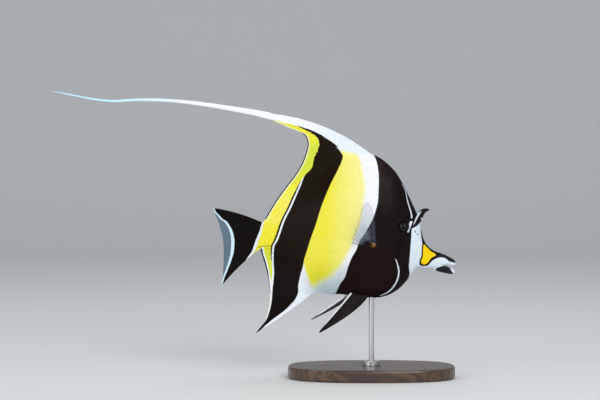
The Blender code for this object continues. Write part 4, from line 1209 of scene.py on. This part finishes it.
def pelvic_material(look, rays, name, line):
    """Black blade, white along its hind edge from the ray numbered by `line`."""
    material, t, shader = new_material(
        name, Roughness=0.42, Coat_Weight=0.05, Coat_Roughness=0.3, Specular_IOR_Level=0.08
    )
    u, v, _ = t.parts(t.uv("rays"))
    ridge = t.group(rays, Rays=t.uv("rays"), Branch=0.6)["Ridge"]
    broad = t.noise(220.0, 2.0, t.here())
    hind = t.mul(t.past(u, line, 0.15), t.ramp(v, 0.05, 0.12), t.ramp(v, 0.85, 0.97, 1.0, 0.0))
    paint = t.laid(
        look.black,
        (t.ramp(broad, 0.4, 0.8, 0.0, 0.7), look.brown), (t.mul(ridge, 0.3), look.maroon),
        (hind, look.white),
    )
    t.feed(shader, Base_Color=paint, Normal=fine_bump(t))
    return material


def eye_material(look):
    """Glossy eye: round black pupil, thin brown ring, dark brown iris with fine radial
    threads, darker towards its rim, all from the distance to the eye's axis."""
    material, t, shader = new_material(
        "fish eye", Roughness=0.14, Coat_Weight=0.06, Coat_Roughness=0.03, Specular_IOR_Level=0.12
    )
    x, z = t.fish_place(t.here())
    dx, dz = t.sub(x, EYE_AT[0]), t.sub(z, EYE_AT[1])
    off = t.length(dx, dz)
    paint = t.laid(
        look.iris,
        (t.noise_along(3.0, t.mul(t.math("ARCTAN2", dz, dx), 14.0)), look.iris_thread),
        (t.ramp(off, 2.7, 3.8), look.black),
        (t.ramp(t.apart(off, 2.05), 0.05, 0.3, 0.5, 0.0), look.eye_ring),
        (t.past(PUPIL_RADIUS, off, 0.08), look.pupil),
    )
    t.feed(shader, Base_Color=paint)
    return material


def horn_material(look):
    """Dark bone with growth rings and a white stripe along its upper edge, from its own
    map: u goes round it and v from root to tip."""
    material, t, shader = new_material(
        "horn bone", Roughness=0.42, Coat_Weight=0.1, Coat_Roughness=0.3, Specular_IOR_Level=0.08
    )
    u, v, _ = t.parts(t.uv("horn"))
    side = t.math("COSINE", t.mul(u, 2 * math.pi))
    rings = t.noise_along(3.0, t.mul(v, 26.0))
    bone = t.mix(t.ramp(rings, 0.35, 0.7), look.black, look.maroon)
    stripe = t.mul(
        t.past(-0.52, side, 0.10), t.ramp(v, 0.16, 0.26), t.ramp(v, 0.62, 0.78, 1.0, 0.0)
    )
    fleck = t.mul(t.past(side, 0.6, 0.15), t.ramp(t.apart(v, 0.55), 0.02, 0.05, 0.7, 0.0))
    bone = t.mix(t.most(stripe, fleck), bone, look.face)
    t.feed(shader, Base_Color=bone, Normal=t.bump(rings, 0.0002, 0.5))
    return material


def streamer_material(look):
    """White spine with fine lines drawn out along it, bluer towards its tip."""
    material, t, shader = new_material(
        "streamer", Roughness=0.45, Coat_Weight=0.04, Specular_IOR_Level=0.08
    )
    lines = t.noise(1.0, 3.0, t.mapped((40.0, 400.0, 1500.0)), 0.6)
    far = t.ramp(t.parts(t.here())[0], -0.205, -0.12, 1.0, 0.0)
    paint = t.laid(
        look.white,
        (far, look.streamer_tip), (t.ramp(lines, 0.45, 0.8, 0.0, 0.3), look.streamer_line),
    )
    t.feed(shader, Base_Color=paint, Normal=t.bump(lines, 0.0001, 0.6))
    return material


def wood_material(stand):
    """Oiled dark wood: rings stretched along the base, fine dark pores, and a sheen that
    varies with the grain."""
    material, t, shader = new_material("oiled wood", Coat_Weight=0.35, Coat_Roughness=0.2)
    place = t.mapped((7.0, 90.0, 90.0), (0.05, 0.0, 0.06))
    bend = t.noise(1.6, 4.0, place, 0.6)
    wave = t.node(
        "TexWave", {"wave_type": "BANDS", "bands_direction": "Y"}, Scale=1.1, Distortion=2.2,
        Detail=3.0, Vector=t.vector("ADD", place, t.mul(bend, 1.4)),
    )
    figure = t.add(t.mul(wave.outputs["Fac"], 0.6), t.mul(bend, 0.4))
    pores = t.ramp(t.noise(22.0, 3.0, place, 0.6), 0.54, 0.72, 0.0, 0.45)
    paint = t.laid(
        stand.wood_dark, (t.ramp(figure, 0.05, 0.95), stand.wood_light), (pores, stand.wood_pore)
    )
    bump = t.bump(t.sub(t.mul(figure, 0.4), pores), 0.00015, 0.5)
    t.feed(shader, Base_Color=paint, Roughness=t.ramp(figure, 0.0, 1.0, 0.46, 0.32), Normal=bump)
    return material


def steel_material(stand, name, scale):
    """Brushed steel: fine scratches drawn out along or round the piece by the scale of
    their noise along each axis."""
    material, t, shader = new_material(name, Metallic=1.0)
    scratches = t.noise(1.0, 4.0, t.mapped(scale), 0.7)
    paint = t.mix(t.ramp(scratches, 0.3, 0.8, 0.0, 0.35), stand.steel, stand.steel_dark)
    rough = t.ramp(scratches, 0.2, 0.8, 0.22, 0.42)
    t.feed(shader, Base_Color=paint, Roughness=rough, Normal=t.bump(scratches, 0.00003, 0.5))
    return material


# Settings

def colour_property(label, value):
    return bpy.props.FloatVectorProperty(
        name=label, default=value, size=3, subtype="COLOR", min=0.0, max=1.0
    )


def size_property(label, value):
    return bpy.props.FloatProperty(
        name=label, default=value, min=0.0, subtype="DISTANCE", unit="LENGTH"
    )


def power_property(label, value):
    return bpy.props.FloatProperty(
        name=label, default=value, min=0.0, subtype="POWER", unit="POWER"
    )


def count_property(label, value):
    return bpy.props.IntProperty(name=label, default=value, min=6)


class IdolLook(bpy.types.PropertyGroup):
    black: colour_property("Ground of the black bands", (0.0050, 0.0032, 0.0031))
    brown: colour_property("Chocolate cast in the black bands", (0.0270, 0.0160, 0.0155))
    umber: colour_property("Ground of the rear black band", (0.0092, 0.0054, 0.0020))
    maroon: colour_property("Cast behind the gills", (0.0115, 0.0036, 0.0038))
    white: colour_property("White of the bands and fins", (0.83, 0.85, 0.89))
    dull_white: colour_property("Flecks in the white", (0.62, 0.68, 0.74))
    face: colour_property("Face, snout and thin lines", (0.70, 0.78, 0.86))
    dull_face: colour_property("Mottling of the face", (0.44, 0.49, 0.56))
    # Painted shade under the belly
    belly_shade: colour_property("Painted shade under the belly", (0.52, 0.62, 0.62))
    # Painted shadow under the tail stalk
    stalk_shade: colour_property("Painted shadow under the tail stalk", (0.060, 0.055, 0.008))
    yellow: colour_property("Yellow of the flank", (0.80, 0.73, 0.042))
    pale_yellow: colour_property("Paler flank yellow", (0.86, 0.80, 0.28))
    rear_yellow: colour_property("Yellow of the tail end", (0.82, 0.74, 0.040))
    rear_pale: colour_property("Patches of the tail end", (0.84, 0.79, 0.17))
    lime_yellow: colour_property("Anal fin and dorsal tip", (0.59, 0.67, 0.055))
    edge_white: colour_property("Line in the dorsal fin's edge", (0.82, 0.85, 0.55))
    # Partly the membrane's own tone, partly painted shade between raised rays
    between_rays: colour_property("What darkens the skin between rays", (0.80, 0.89, 0.92))
    orange: colour_property("Saddle on the snout", (0.95, 0.62, 0.004))
    slate: colour_property("Dark grey of snout and jaw", (0.013, 0.014, 0.018))
    crescent: colour_property("Pale blue line of the tail", (0.60, 0.79, 0.85))
    membrane: colour_property("Hind edge of the tail", (0.100, 0.170, 0.235))
    root_orange: colour_property("Pectoral fin's root", (0.20, 0.09, 0.010))
    root_gold: colour_property("Front of the pectoral fin's root", (0.62, 0.40, 0.14))
    clear_fin: colour_property("Membrane of the pectoral fins", (0.070, 0.085, 0.130))
    clear_ray: colour_property("Rays of the pectoral fins", (0.28, 0.33, 0.41))
    streamer_tip: colour_property("Tip of the streamer", (0.50, 0.80, 0.93))
    streamer_line: colour_property("Lines along the streamer", (0.56, 0.68, 0.76))
    iris: colour_property("Iris of the eye", (0.0045, 0.0032, 0.0030))
    iris_thread: colour_property("Threads of the iris", (0.013, 0.008, 0.006))
    eye_ring: colour_property("Ring round the pupil", (0.030, 0.020, 0.012))
    pupil: colour_property("Pupil of the eye", (0.002, 0.002, 0.003))
    scale_tone: bpy.props.FloatProperty(
        name="How much darker single scales may be", default=0.05, min=0.0, max=1.0
    )


class IdolBody(bpy.types.PropertyGroup):
    scale_length: size_property("Spacing of the scales along the body", 0.00125)
    scale_lift: size_property("How far a scale's hind edge stands up", 0.00012)
    gill_lift: size_property("How far the gill edge stands out", 0.0008)
    eye_radius: size_property("Radius of the eye's opening", 0.0040)
    eye_bulge: size_property("How far the eye stands out of the head", 0.0011)


class IdolFins(bpy.types.PropertyGroup):
    ray_rise: size_property("How far the rays stand over the membrane", 0.00026)
    root_half: size_property("Half thickness at a fin's root", 0.0014)
    dorsal_rays: count_property("Soft rays of the dorsal fin", 42)
    anal_rays: count_property("Soft rays of the anal fin", 34)
    tail_rays: count_property("Rays of the tail fin", 18)
    pectoral_rays: count_property("Rays of each pectoral fin", 18)
    pelvic_rays: count_property("Rays of each pelvic fin", 6)


class IdolStand(bpy.types.PropertyGroup):
    wood_dark: colour_property("Dark grain of the base", (0.030, 0.013, 0.007))
    wood_light: colour_property("Light grain of the base", (0.105, 0.050, 0.024))
    wood_pore: colour_property("Pores of the base", (0.012, 0.006, 0.004))
    steel: colour_property("Colour of the rod and collar", (0.62, 0.62, 0.64))
    steel_dark: colour_property("Scratches in the steel", (0.32, 0.33, 0.35))


class IdolStage(bpy.types.PropertyGroup):
    floor: colour_property("Colour of the floor and backdrop", (0.77, 0.78, 0.785))
    distance: size_property("From the middle plane to the camera", 1.7)
    view_width: size_property("Width seen at the middle plane", 0.444)
    key: power_property("Power of the main soft light", 11.3)
    fill: power_property("Power of the softer second light", 6.0)
    top: power_property("Power of the light from above", 3.6)


def markings(scene):
    """The shared group of the markings, built the first time that it is wanted."""
    return bpy.data.node_groups.get("fish markings") or markings_group(scene.idol_look)


def rays():
    """The shared group of the fin rays, built the first time that it is wanted."""
    return bpy.data.node_groups.get("fin rays") or rays_group()


# Operators

class IDOL_OT_skin(bpy.types.Operator):
    """Build the skin: one closed surface lofted through the ribs, with the gill edge,
    gill cover, eye sockets and nostrils in relief, and the lower jaw."""

    bl_idname = "idol.skin"
    bl_label = "Skin"

    def execute(self, context):
        scene = context.scene

        def lift(x, z):
            return relief(x, z, scene.idol_body)

        def closer(x):
            return 1.0 + SKIN_CLOSER * smooth(x, *SKIN_CLOSER_AT)

        add_solid(
            "fish_skin", [lofted(RIBS, SKIN_MESH, lift, closer), lofted(JAW_RIBS, JAW_MESH)],
            skin_material(scene.idol_look, markings(scene), "fish skin", True),
            ("snout", "lower_jaw", "head", "gill_cover_left", "gill_cover_right", "trunk",
             "tail_stalk"),
        )
        return {"FINISHED"}


class IDOL_OT_scales(bpy.types.Operator):
    """Build the scales: small closed shingles on a staggered lattice over each flank.
    Each is a six-sided lens, buried at its front and lifted at its hind edge, turned
    along the lie of the body."""

    bl_idname = "idol.scales"
    bl_label = "Scales"

    # Along the lie (hind edge positive), across it, and height, in scale lengths: six
    # points of the ring, the crown and the foot
    SHAPE = np.array([
        (-0.70, 0.0, -0.20), (-0.15, -0.62, -0.03), (0.55, -0.44, 0.60),
        (0.88, 0.0, 0.95), (0.55, 0.44, 0.60), (-0.15, 0.62, -0.03),
        (0.15, 0.0, 1.0), (0.15, 0.0, -1.2),
    ])
    SPAN = 1.6  # length of that shape
    RING = 6  # points of the ring, and of the whole scale
    POINTS = 8
    PATCH = 0.003  # how wide each scale is drawn on the unwrap
    UNWRAP = 0.96  # share of the map that the unwrapped flank fills
    LATTICE = ((6.0, 147.0), (-44.0, 66.0))  # least and most x, and the same of z
    ROW_STEP = 0.84
    JITTER = 0.05
    BARE_ROUND_EYE = 5.6
    BARE_ROUND_NOSTRIL = 1.7
    BARE_ALONG_GILL = 0.75
    BARE_GILL_TOP = 30.0
    BARE_PAST = (7.5, 146.0)  # least and most x of a scale
    MOST_ACROSS = 0.955
    SMALLER_AHEAD = ((104, 0.85), (114, 0.62))  # from which x, and the share of the size
    SMALLER_BEHIND = (0.25, 8, 30)  # by how much, and between which x it sets in
    TURNED_BACK = (-0.25, 0.0)
    LIFTS = (0.75, 1.25)  # least and most of a scale's lift, as shares of the setting
    FEWEST = 1000

    def lattice(self, flank, length):
        """Scale roots (x, z) over the side view, alternate rows set over by half."""
        (x_low, x_high), (z_low, z_high) = self.LATTICE
        zs = np.arange(z_low, z_high, length * self.ROW_STEP)
        x, z = np.meshgrid(np.arange(x_low, x_high, length), zs)
        x = x + (np.arange(len(zs)) % 2)[:, None] * length / 2
        draw = np.random.default_rng(SEED)
        x = (x + draw.normal(0, self.JITTER * length, x.shape)).ravel()
        z = (z + draw.normal(0, self.JITTER * length, z.shape)).ravel()
        keep = np.abs(flank.read(flank.across, x, z)) < self.MOST_ACROSS
        keep &= (x > self.BARE_PAST[0]) & (x < self.BARE_PAST[1])
        keep &= np.hypot(x - EYE_AT[0], z - EYE_AT[1]) > self.BARE_ROUND_EYE
        for nx, nz in NOSTRILS:
            keep &= np.hypot(x - nx, z - nz) > self.BARE_ROUND_NOSTRIL
        x, z = x[keep], z[keep]
        clear = distance_to(GILL_OPENING, x, z) > self.BARE_ALONG_GILL
        clear |= z > self.BARE_GILL_TOP
        return x[clear], z[clear]

    def execute(self, context):
        scene = context.scene
        body = scene.idol_body
        flank = Flank(body)
        length = body.scale_length / MM
        x, z = self.lattice(flank, length)
        count = len(x)
        if count < self.FEWEST:
            raise RuntimeError("the scale lattice came out nearly empty")
        share = (flank.read(flank.across, x, z) + 1) / 2
        at = np.clip(flank.read(flank.row, x, z).astype(int), 0, len(flank.rows) - 1)
        step = np.gradient(flank.rows[:, :4], axis=0)[at]
        lie = step[:, 2:4] * (1 - share[:, None]) + step[:, 0:2] * share[:, None]
        lie = unit(lie + np.array(self.TURNED_BACK))
        less, low, high = self.SMALLER_BEHIND
        size = length * (1 - less * (1 - smooth(x, low, high)))
        for from_x, share_left in self.SMALLER_AHEAD:
            size[x > from_x] = length * share_left
        size = size[:, None]
        along, across, rise = self.SHAPE.T
        px = x[:, None] + (lie[:, :1] * along - lie[:, 1:] * across) * size
        pz = z[:, None] + (lie[:, 1:] * along + lie[:, :1] * across) * size
        draw = np.random.default_rng(SEED + 1)
        least, most = self.LIFTS
        lift = body.scale_lift / MM * (least + (most - least) * draw.random(count))
        width = flank.read(flank.width, px, pz) + rise * lift[:, None] * size / length
        tone = np.repeat(draw.random(count) ** 2, self.POINTS)
        uv = self.unwrap(flank.rows, at, share)
        faces = self.faces(count)
        material = skin_material(scene.idol_look, markings(scene), "fish scale", False)
        for label, side in SIDES:
            piece = add_piece(
                "scales_" + label, placed(np.stack([px, side * width, pz], axis=2)),
                faces if side < 0 else faces[:, ::-1], material,
                uv=("OFBake", uv), values={"tone": tone},
            )
            self.sharpen_rims(piece.data)
        return {"FINISHED"}

    def faces(self, count):
        """Triangles from each side of the ring to the crown and to the foot."""
        i = np.arange(self.RING)
        after = (i + 1) % self.RING
        crown, foot = np.full(self.RING, self.RING), np.full(self.RING, self.RING + 1)
        one = np.concatenate([np.stack([i, after, crown], 1), np.stack([after, i, foot], 1)])
        return (one[None] + np.arange(count)[:, None, None] * self.POINTS).reshape(-1, 3)

    def unwrap(self, rows, at, share):
        """A map of the flank, the body's length by its girth, with each scale drawn small
        at its root's place."""
        run = lengths_along(middle_line(rows))
        girth = np.linalg.norm(rows[:, :2] - rows[:, 2:4], axis=1)
        root = np.stack([
            run[at] * self.UNWRAP + (1 - self.UNWRAP) / 2,
            0.5 + (share - 0.5) * girth[at] / girth.max() * self.UNWRAP,
        ], axis=1)
        return (root[:, None] + self.SHAPE[:, :2] / self.SPAN * self.PATCH).reshape(-1, 2)

    def sharpen_rims(self, mesh):
        """Marks the edges between two ring points, so that each crown shades as a dome."""
        ends = np.empty(len(mesh.edges) * 2, np.int32)
        mesh.edges.foreach_get("vertices", ends)
        rim = ((ends.reshape(-1, 2) % self.POINTS) < self.RING).all(axis=1)
        mesh.attributes.new("sharp_edge", "BOOLEAN", "EDGE").data.foreach_set("value", rim)


class IDOL_OT_eyes(bpy.types.Operator):
    """Build the eyes: flattened balls, x and z by cosine and sine of two angles, with a
    low bulge over the pupil, set in the sockets."""

    bl_idname = "idol.eyes"
    bl_label = "Eyes"

    SUNK = 1.5
    FILLS = 1.04  # radius of the ball, as a share of the opening's
    LAST_RING = 0.985  # angle of the rings nearest the poles, in quarter turns
    BULGE = (0.25, 0.9, 1.5)  # its height, and the angles between which it rises

    def execute(self, context):
        body = context.scene.idol_body
        radius, stands_out = body.eye_radius / MM * self.FILLS, body.eye_bulge / MM
        material = eye_material(context.scene.idol_look)
        rings, sides = EYE_MESH
        turn = around(sides)
        rise = (np.linspace(-self.LAST_RING, self.LAST_RING, rings) * math.pi / 2)[:, None]
        x = EYE_AT[0] + radius * np.cos(rise) * np.cos(turn)
        z = EYE_AT[1] + radius * np.cos(rise) * np.sin(turn)
        height, low, high = self.BULGE
        out = np.sin(rise) * (stands_out + self.SUNK) + height * smooth(rise, low, high)
        y = np.broadcast_to(side_width_at(EYE_AT) - self.SUNK + out, x.shape)
        for label, side in SIDES:
            add_solid(
                "eye_" + label + "_ball", [np.stack([x, side * y, z], axis=2)], material,
                ("eye_" + label,),
            )
        return {"FINISHED"}


class IDOL_OT_horns(bpy.types.Operator):
    """Build the horns: an oval section carried along a bent path, square to it in the
    side view, its radius read along the path and waved a little by growth rings."""

    bl_idname = "idol.horns"
    bl_label = "Horns"

    def execute(self, context):
        material = horn_material(context.scene.idol_look)
        count, sides = HORN_MESH
        share = np.linspace(0, 1, count)
        path = curve(HORN_PATH, share)
        over = np.zeros((count, 3))
        over[:, [0, 2]] = turned(unit(np.gradient(path[:, [0, 2]], axis=0)))
        turn = around(sides)[None, :, None]
        section = np.cos(turn) * over[:, None] + np.sin(turn) * np.array([0, HORN_FLATNESS, 0])
        height, turns = HORN_RINGS
        radius = path[:, 3:] * (1 + height * np.sin(share[:, None] * turns))
        uv = unrolled(share, sides)
        for label, side in SIDES:
            rings = path[:, None, :3] * (1, side, 1) + radius[:, None] * section
            add_solid(
                "horn_" + label + "_bone", [rings], material, ("horn_" + label,),
                ("horn", uv),
            )
        return {"FINISHED"}


class IDOL_OT_median_fins(bpy.types.Operator):
    """Build the dorsal, anal and tail fins: sheets of parabolic rays from root to free
    edge, with the rays raised in both faces and a fillet at the root."""

    bl_idname = "idol.median_fins"
    bl_label = "Dorsal, anal and tail fins"

    SPINE_WIDTH = 1.1  # in rays
    FRONT_THINNED = 0.55
    MARGIN_THINNED = 0.6
    WAVE = 0.22
    WAVE_PER_RAY = 0.9

    def execute(self, context):
        fins, look = context.scene.idol_fins, context.scene.idol_look
        groups = markings(context.scene), rays()
        root_half = fins.root_half / MM
        self.fin(
            "dorsal_fin", sunk_edge(DORSAL_BASE_RIBS, True), DORSAL_MARGIN, DORSAL_BOW,
            fins.dorsal_rays, mesh=(7, 56), branch=0.7, root_half=root_half, spine=0.45, fins=fins,
            material=fin_material(look, *groups, "dorsal fin", edge=DORSAL_EDGE, branch=0.7),
            slot="fin_white", replaced=("dorsal_fin_front", "dorsal_fin_rear"),
        )
        self.fin(
            "anal_fin_sheet", sunk_edge(ANAL_BASE_RIBS, False), ANAL_MARGIN, ANAL_BOW,
            fins.anal_rays, mesh=(7, 36), branch=0.6, root_half=root_half, spine=0.35, fins=fins,
            material=fin_material(look, *groups, "anal fin", wobble=0.5),
            slot="fin_dark", replaced=("anal_fin",),
        )
        self.fin(
            "tail_fin_sheet", RIBS[-1, :4].reshape(2, 2) + (FIN_SINK, 0.0), TAIL_MARGIN, TAIL_BOW,
            fins.tail_rays, mesh=(10, 40), branch=0.45, root_half=root_half * 1.35, spine=0.3,
            fins=fins,
            material=fin_material(look, *groups, "tail fin", clear=0.35, branch=0.45, wobble=0.3),
            slot="fin_dark", replaced=("tail_fin",),
        )
        return {"FINISHED"}

    def fin(self, name, root, margin, bow, ray_count, mesh, branch, root_half, spine, fins,
            material, slot, replaced):
        """One fin: mesh gives the columns for each ray and the rows, branch where the rays
        divide, and spine how much the first ray adds to the half thickness."""
        columns, rows = ray_count * mesh[0] + 1, mesh[1]
        grid = fin_grid(root, margin, bow, columns, rows)
        u = np.linspace(0, ray_count, columns)[:, None]
        v = np.linspace(0, 1, rows)[None]
        half = plate_half(grid, ray_count, branch, fins, root_half)
        half = half + spine * bell(u, self.SPINE_WIDTH) * (1 - 0.7 * v)
        half[0] *= self.FRONT_THINNED
        half[:, -1] *= self.MARGIN_THINNED
        wave = self.WAVE * np.sin(u * self.WAVE_PER_RAY) * v**1.5
        fin_plate(name, grid, wave, half, ray_count, material, replaced)


class IDOL_OT_streamer(bpy.types.Operator):
    """Build the streamer: a lens-shaped section, its height and thickness read along the
    path, carried square to it."""

    bl_idname = "idol.streamer"
    bl_label = "Streamer"

    def execute(self, context):
        count, sides = STREAMER_MESH
        knots = lengths_along(STREAMER[:, :2])
        path, sizes = np.split(cubic(knots, STREAMER, np.linspace(0, 1, count)), 2, axis=1)
        up = turned(unit(np.gradient(path, axis=0)))
        turn = around(sides)
        tall = 0.5 * np.sign(np.cos(turn)) * np.abs(np.cos(turn)) ** STREAMER_LENS
        flat = path[:, None] + up[:, None] * (tall[None, :, None] * sizes[:, None, :1])
        height, ridges = STREAMER_RIDGES
        y = 0.5 * np.sin(turn)[None] * (1 + height * np.cos(ridges * turn)) * sizes[:, 1:]
        add_solid(
            "dorsal_streamer", [np.stack([flat[..., 0], y, flat[..., 1]], axis=2)],
            streamer_material(context.scene.idol_look),
            ("dorsal_streamer_1", "dorsal_streamer_2", "dorsal_streamer_3"),
        )
        return {"FINISHED"}


class IDOL_OT_paired_fins(bpy.types.Operator):
    """Build the pectoral and pelvic fins: ray sheets stood out from the flank by their
    reach, or splayed from the breast by a small angle."""

    bl_idname = "idol.paired_fins"
    bl_label = "Pectoral and pelvic fins"

    def execute(self, context):
        fins, look = context.scene.idol_fins, context.scene.idol_look
        clear = clear_fin_material(look, rays(), "pectoral fin")
        for label, side in SIDES:
            self.pectoral(label, side, fins, clear)
            name = "pelvic fin " + label
            black = pelvic_material(look, rays(), name, PELVIC_WHITE_FROM[label])
            self.pelvic(label, side, fins, black)
        return {"FINISHED"}

    @staticmethod
    def pectoral(label, side, fins, material):
        count = fins.pectoral_rays
        per_ray, rows = PECTORAL_MESH
        grid = fin_grid(PECTORAL_BASE, PECTORAL_MARGIN, PECTORAL_BOW, count * per_ray + 1, rows)
        reach = np.linalg.norm(grid - grid[:, :1], axis=2)
        factor, power = PECTORAL_FLARE
        out = side_width_at(PECTORAL_BASE[1]) - PECTORAL_SINK + factor * reach**power
        half = plate_half(grid, count, PECTORAL_BRANCH, fins, *PECTORAL_HALF) * PECTORAL_THINNED
        fin_plate(
            "pectoral_sheet_" + label, grid, side * out, half, count, material,
            ("pectoral_fin_" + label,),
        )

    @staticmethod
    def pelvic(label, side, fins, material):
        """The blade turned back in the side view, then rolled about a line along it: each
        row by its share of the twist."""
        count = fins.pelvic_rays
        per_ray, rows = PELVIC_MESH
        columns = count * per_ray + 1
        grid = fin_grid(PELVIC_BASE, PELVIC_MARGIN, PELVIC_BOW, columns, rows, PELVIC_LEAD)
        pivot = np.array(PELVIC_BASE[1])
        c, s = math.cos(PELVIC_TURN[label]), math.sin(PELVIC_TURN[label])
        grid = (grid - pivot) @ np.array([[c, -s], [s, c]]) + pivot
        drop = np.linalg.norm(grid - grid[:, :1], axis=2)
        roll = PELVIC_TWIST[label] * smooth(np.linspace(0, 1, rows), 0, PELVIC_TWIST_END)
        axis = grid[round(PELVIC_AXIS * (columns - 1))]
        forward = unit(grid[0] - axis)
        ahead = np.einsum("crk,rk->cr", grid - axis, forward)
        flat = grid - (ahead * (1 - np.cos(roll)))[:, :, None] * forward
        out = PELVIC_OFF_MIDDLE + drop * math.tan(PELVIC_SPLAY) + ahead * np.sin(roll)
        lean = -side * np.sin(roll)[:, None] * forward
        normal = np.stack([lean[:, 0], np.cos(roll), lean[:, 1]], axis=1)
        u = np.linspace(0, count, columns)[:, None]
        half = plate_half(grid, count, NEVER_BRANCHES, fins, PELVIC_ROOT_HALF)
        for edge_at, (height, width) in zip((0, count), PELVIC_SPINES):
            half = half + height * bell(u - edge_at, width)
        half = half * np.linspace(1, PELVIC_TIP_THINNED, rows)[None]
        fin_plate(
            "pelvic_sheet_" + label, flat, side * out, half, count, material,
            ("pelvic_fin_" + label,), normal,
        )


class IDOL_OT_stand(bpy.types.Operator):
    """Finish the stand's solids: oiled wood for the base, brushed steel for the rod and
    the collar."""

    bl_idname = "idol.stand"
    bl_label = "Stand"

    def execute(self, context):
        stand = context.scene.idol_stand
        finishes = {
            "stand_base": wood_material(stand),
            "stand_rod": steel_material(stand, "brushed steel rod", (2400.0, 2400.0, 30.0)),
            "stand_collar": steel_material(stand, "brushed steel collar", (160.0, 160.0, 5200.0)),
        }
        for node, material in finishes.items():
            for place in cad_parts[node].material_slots:
                place.material = material
        return {"FINISHED"}


class IDOL_OT_stage(bpy.types.Operator):
    """Set the studio: a pale floor that curves up into a backdrop, three soft lights and
    the camera at the photograph's angle."""

    bl_idname = "idol.stage"
    bl_label = "Stage"

    MIDDLE = np.array([-0.053, 0.0, 0.1317])  # where the camera looks
    RISE = math.radians(2.0)  # how far the camera looks down
    LIGHTS = {  # place and size of each
        "key": ((0.50, -1.25, 0.75), (0.9, 0.7)),
        "fill": ((-0.95, -0.9, 0.35), (1.0, 0.9)),
        "top": ((0.0, 0.35, 1.2), (1.2, 0.8)),
    }
    SWEEP_HALF = 4.5
    SWEEP_FROM = (-4.0, -1.0)  # y of the flat floor's front edge and of a line across it
    SWEEP_BEND = 1.6  # y where the floor starts to rise
    SWEEP_RADIUS = 0.9
    SWEEP_TOP = 5.0
    AIR = (0.92, 0.95, 1.0)  # colour and strength of the light from all round
    AIR_STRENGTH = 0.45

    def floor(self, stage):
        """A sweep: flat floor, a quarter circle, then an upright wall."""
        turn = np.linspace(0, math.pi / 2, 40)
        radius, bend = self.SWEEP_RADIUS, self.SWEEP_BEND
        y = np.concatenate([self.SWEEP_FROM, bend + radius * np.sin(turn), [bend + radius]])
        z = np.concatenate([[0.0, 0.0], radius - radius * np.cos(turn), [self.SWEEP_TOP]])
        x, y = np.meshgrid([-self.SWEEP_HALF, self.SWEEP_HALF], y)
        points = np.stack([x, y, np.broadcast_to(z[:, None], y.shape)], axis=2).reshape(-1, 3)
        mesh = bpy.data.meshes.new("floor_sweep")
        mesh.from_pydata(points.tolist(), [], grid_faces(len(z), 2)[:, ::-1].tolist())
        mesh.shade_smooth()
        material, t, shader = new_material("plain sweep", Roughness=0.9)
        base = np.array(stage.floor)
        t.feed(shader, Base_Color=t.mix(t.noise(3.0, 2.0, t.here()), base, base * 0.985))
        mesh.materials.append(material)
        self.placed_object("floor_sweep", mesh)

    @staticmethod
    def placed_object(name, data, place=None, target=None):
        """An object in the scene. With a place, it looks from there at the target: a light
        and a camera both look along their own -Z."""
        obj = bpy.data.objects.new(name, data)
        bpy.context.scene.collection.objects.link(obj)
        if place is not None:
            obj.location = place
            way = Vector(np.asarray(target) - np.asarray(place))
            obj.rotation_euler = way.to_track_quat("-Z", "Y").to_euler()
        return obj

    def execute(self, context):
        scene = context.scene
        stage = scene.idol_stage
        self.floor(stage)
        for name, (place, size) in self.LIGHTS.items():
            lamp = bpy.data.lights.new(name, "AREA")
            lamp.shape = "RECTANGLE"
            lamp.size, lamp.size_y = size
            lamp.energy = getattr(stage, name)
            self.placed_object(name, lamp, place, self.MIDDLE)
        scene.world = bpy.data.worlds.new("studio")
        scene.world.use_nodes = True
        tree = scene.world.node_tree
        Tree(tree).feed(tree.nodes["Background"], Color=self.AIR, Strength=self.AIR_STRENGTH)
        camera = bpy.data.cameras.new("camera")
        camera.sensor_width = 36.0
        camera.lens = camera.sensor_width * stage.distance / stage.view_width
        camera.clip_start = 0.05
        way = np.array([0.0, -math.cos(self.RISE), math.sin(self.RISE)])
        place = self.MIDDLE + stage.distance * way
        scene.camera = self.placed_object("camera", camera, place, self.MIDDLE)
        scene.view_settings.view_transform = "Standard"
        return {"FINISHED"}


OPERATORS = (
    IDOL_OT_skin, IDOL_OT_scales, IDOL_OT_eyes, IDOL_OT_horns, IDOL_OT_median_fins,
    IDOL_OT_streamer, IDOL_OT_paired_fins, IDOL_OT_stand, IDOL_OT_stage,
)
SETTINGS = {
    "idol_look": IdolLook, "idol_body": IdolBody, "idol_fins": IdolFins,
    "idol_stand": IdolStand, "idol_stage": IdolStage,
}


class IDOL_PT_panel(bpy.types.Panel):
    """Lists the fish's settings and the operators that build it."""

    bl_idname = "IDOL_PT_panel"
    bl_label = "Moorish Idol"
    bl_space_type = "VIEW_3D"
    bl_region_type = "UI"
    bl_category = "Moorish Idol"

    def draw(self, context):
        for name in SETTINGS:
            box = self.layout.box()
            group = getattr(context.scene, name)
            for key in group.bl_rna.properties.keys():
                if key not in ("rna_type", "name"):
                    box.prop(group, key)
        for operator in OPERATORS:
            self.layout.operator(operator.bl_idname)


CLASSES = (*SETTINGS.values(), *OPERATORS, IDOL_PT_panel)


def register():
    for kind in CLASSES:
        bpy.utils.register_class(kind)
    for name, group in SETTINGS.items():
        setattr(bpy.types.Scene, name, bpy.props.PointerProperty(type=group))


def unregister():
    for name in SETTINGS:
        delattr(bpy.types.Scene, name)
    for kind in reversed(CLASSES):
        bpy.utils.unregister_class(kind)


def main():
    """Builds every piece."""
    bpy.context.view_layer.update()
    register()
    for operator in OPERATORS:
        family, name = operator.bl_idname.split(".")
        getattr(getattr(bpy.ops, family), name)()


if __name__ == "__main__":
    main()
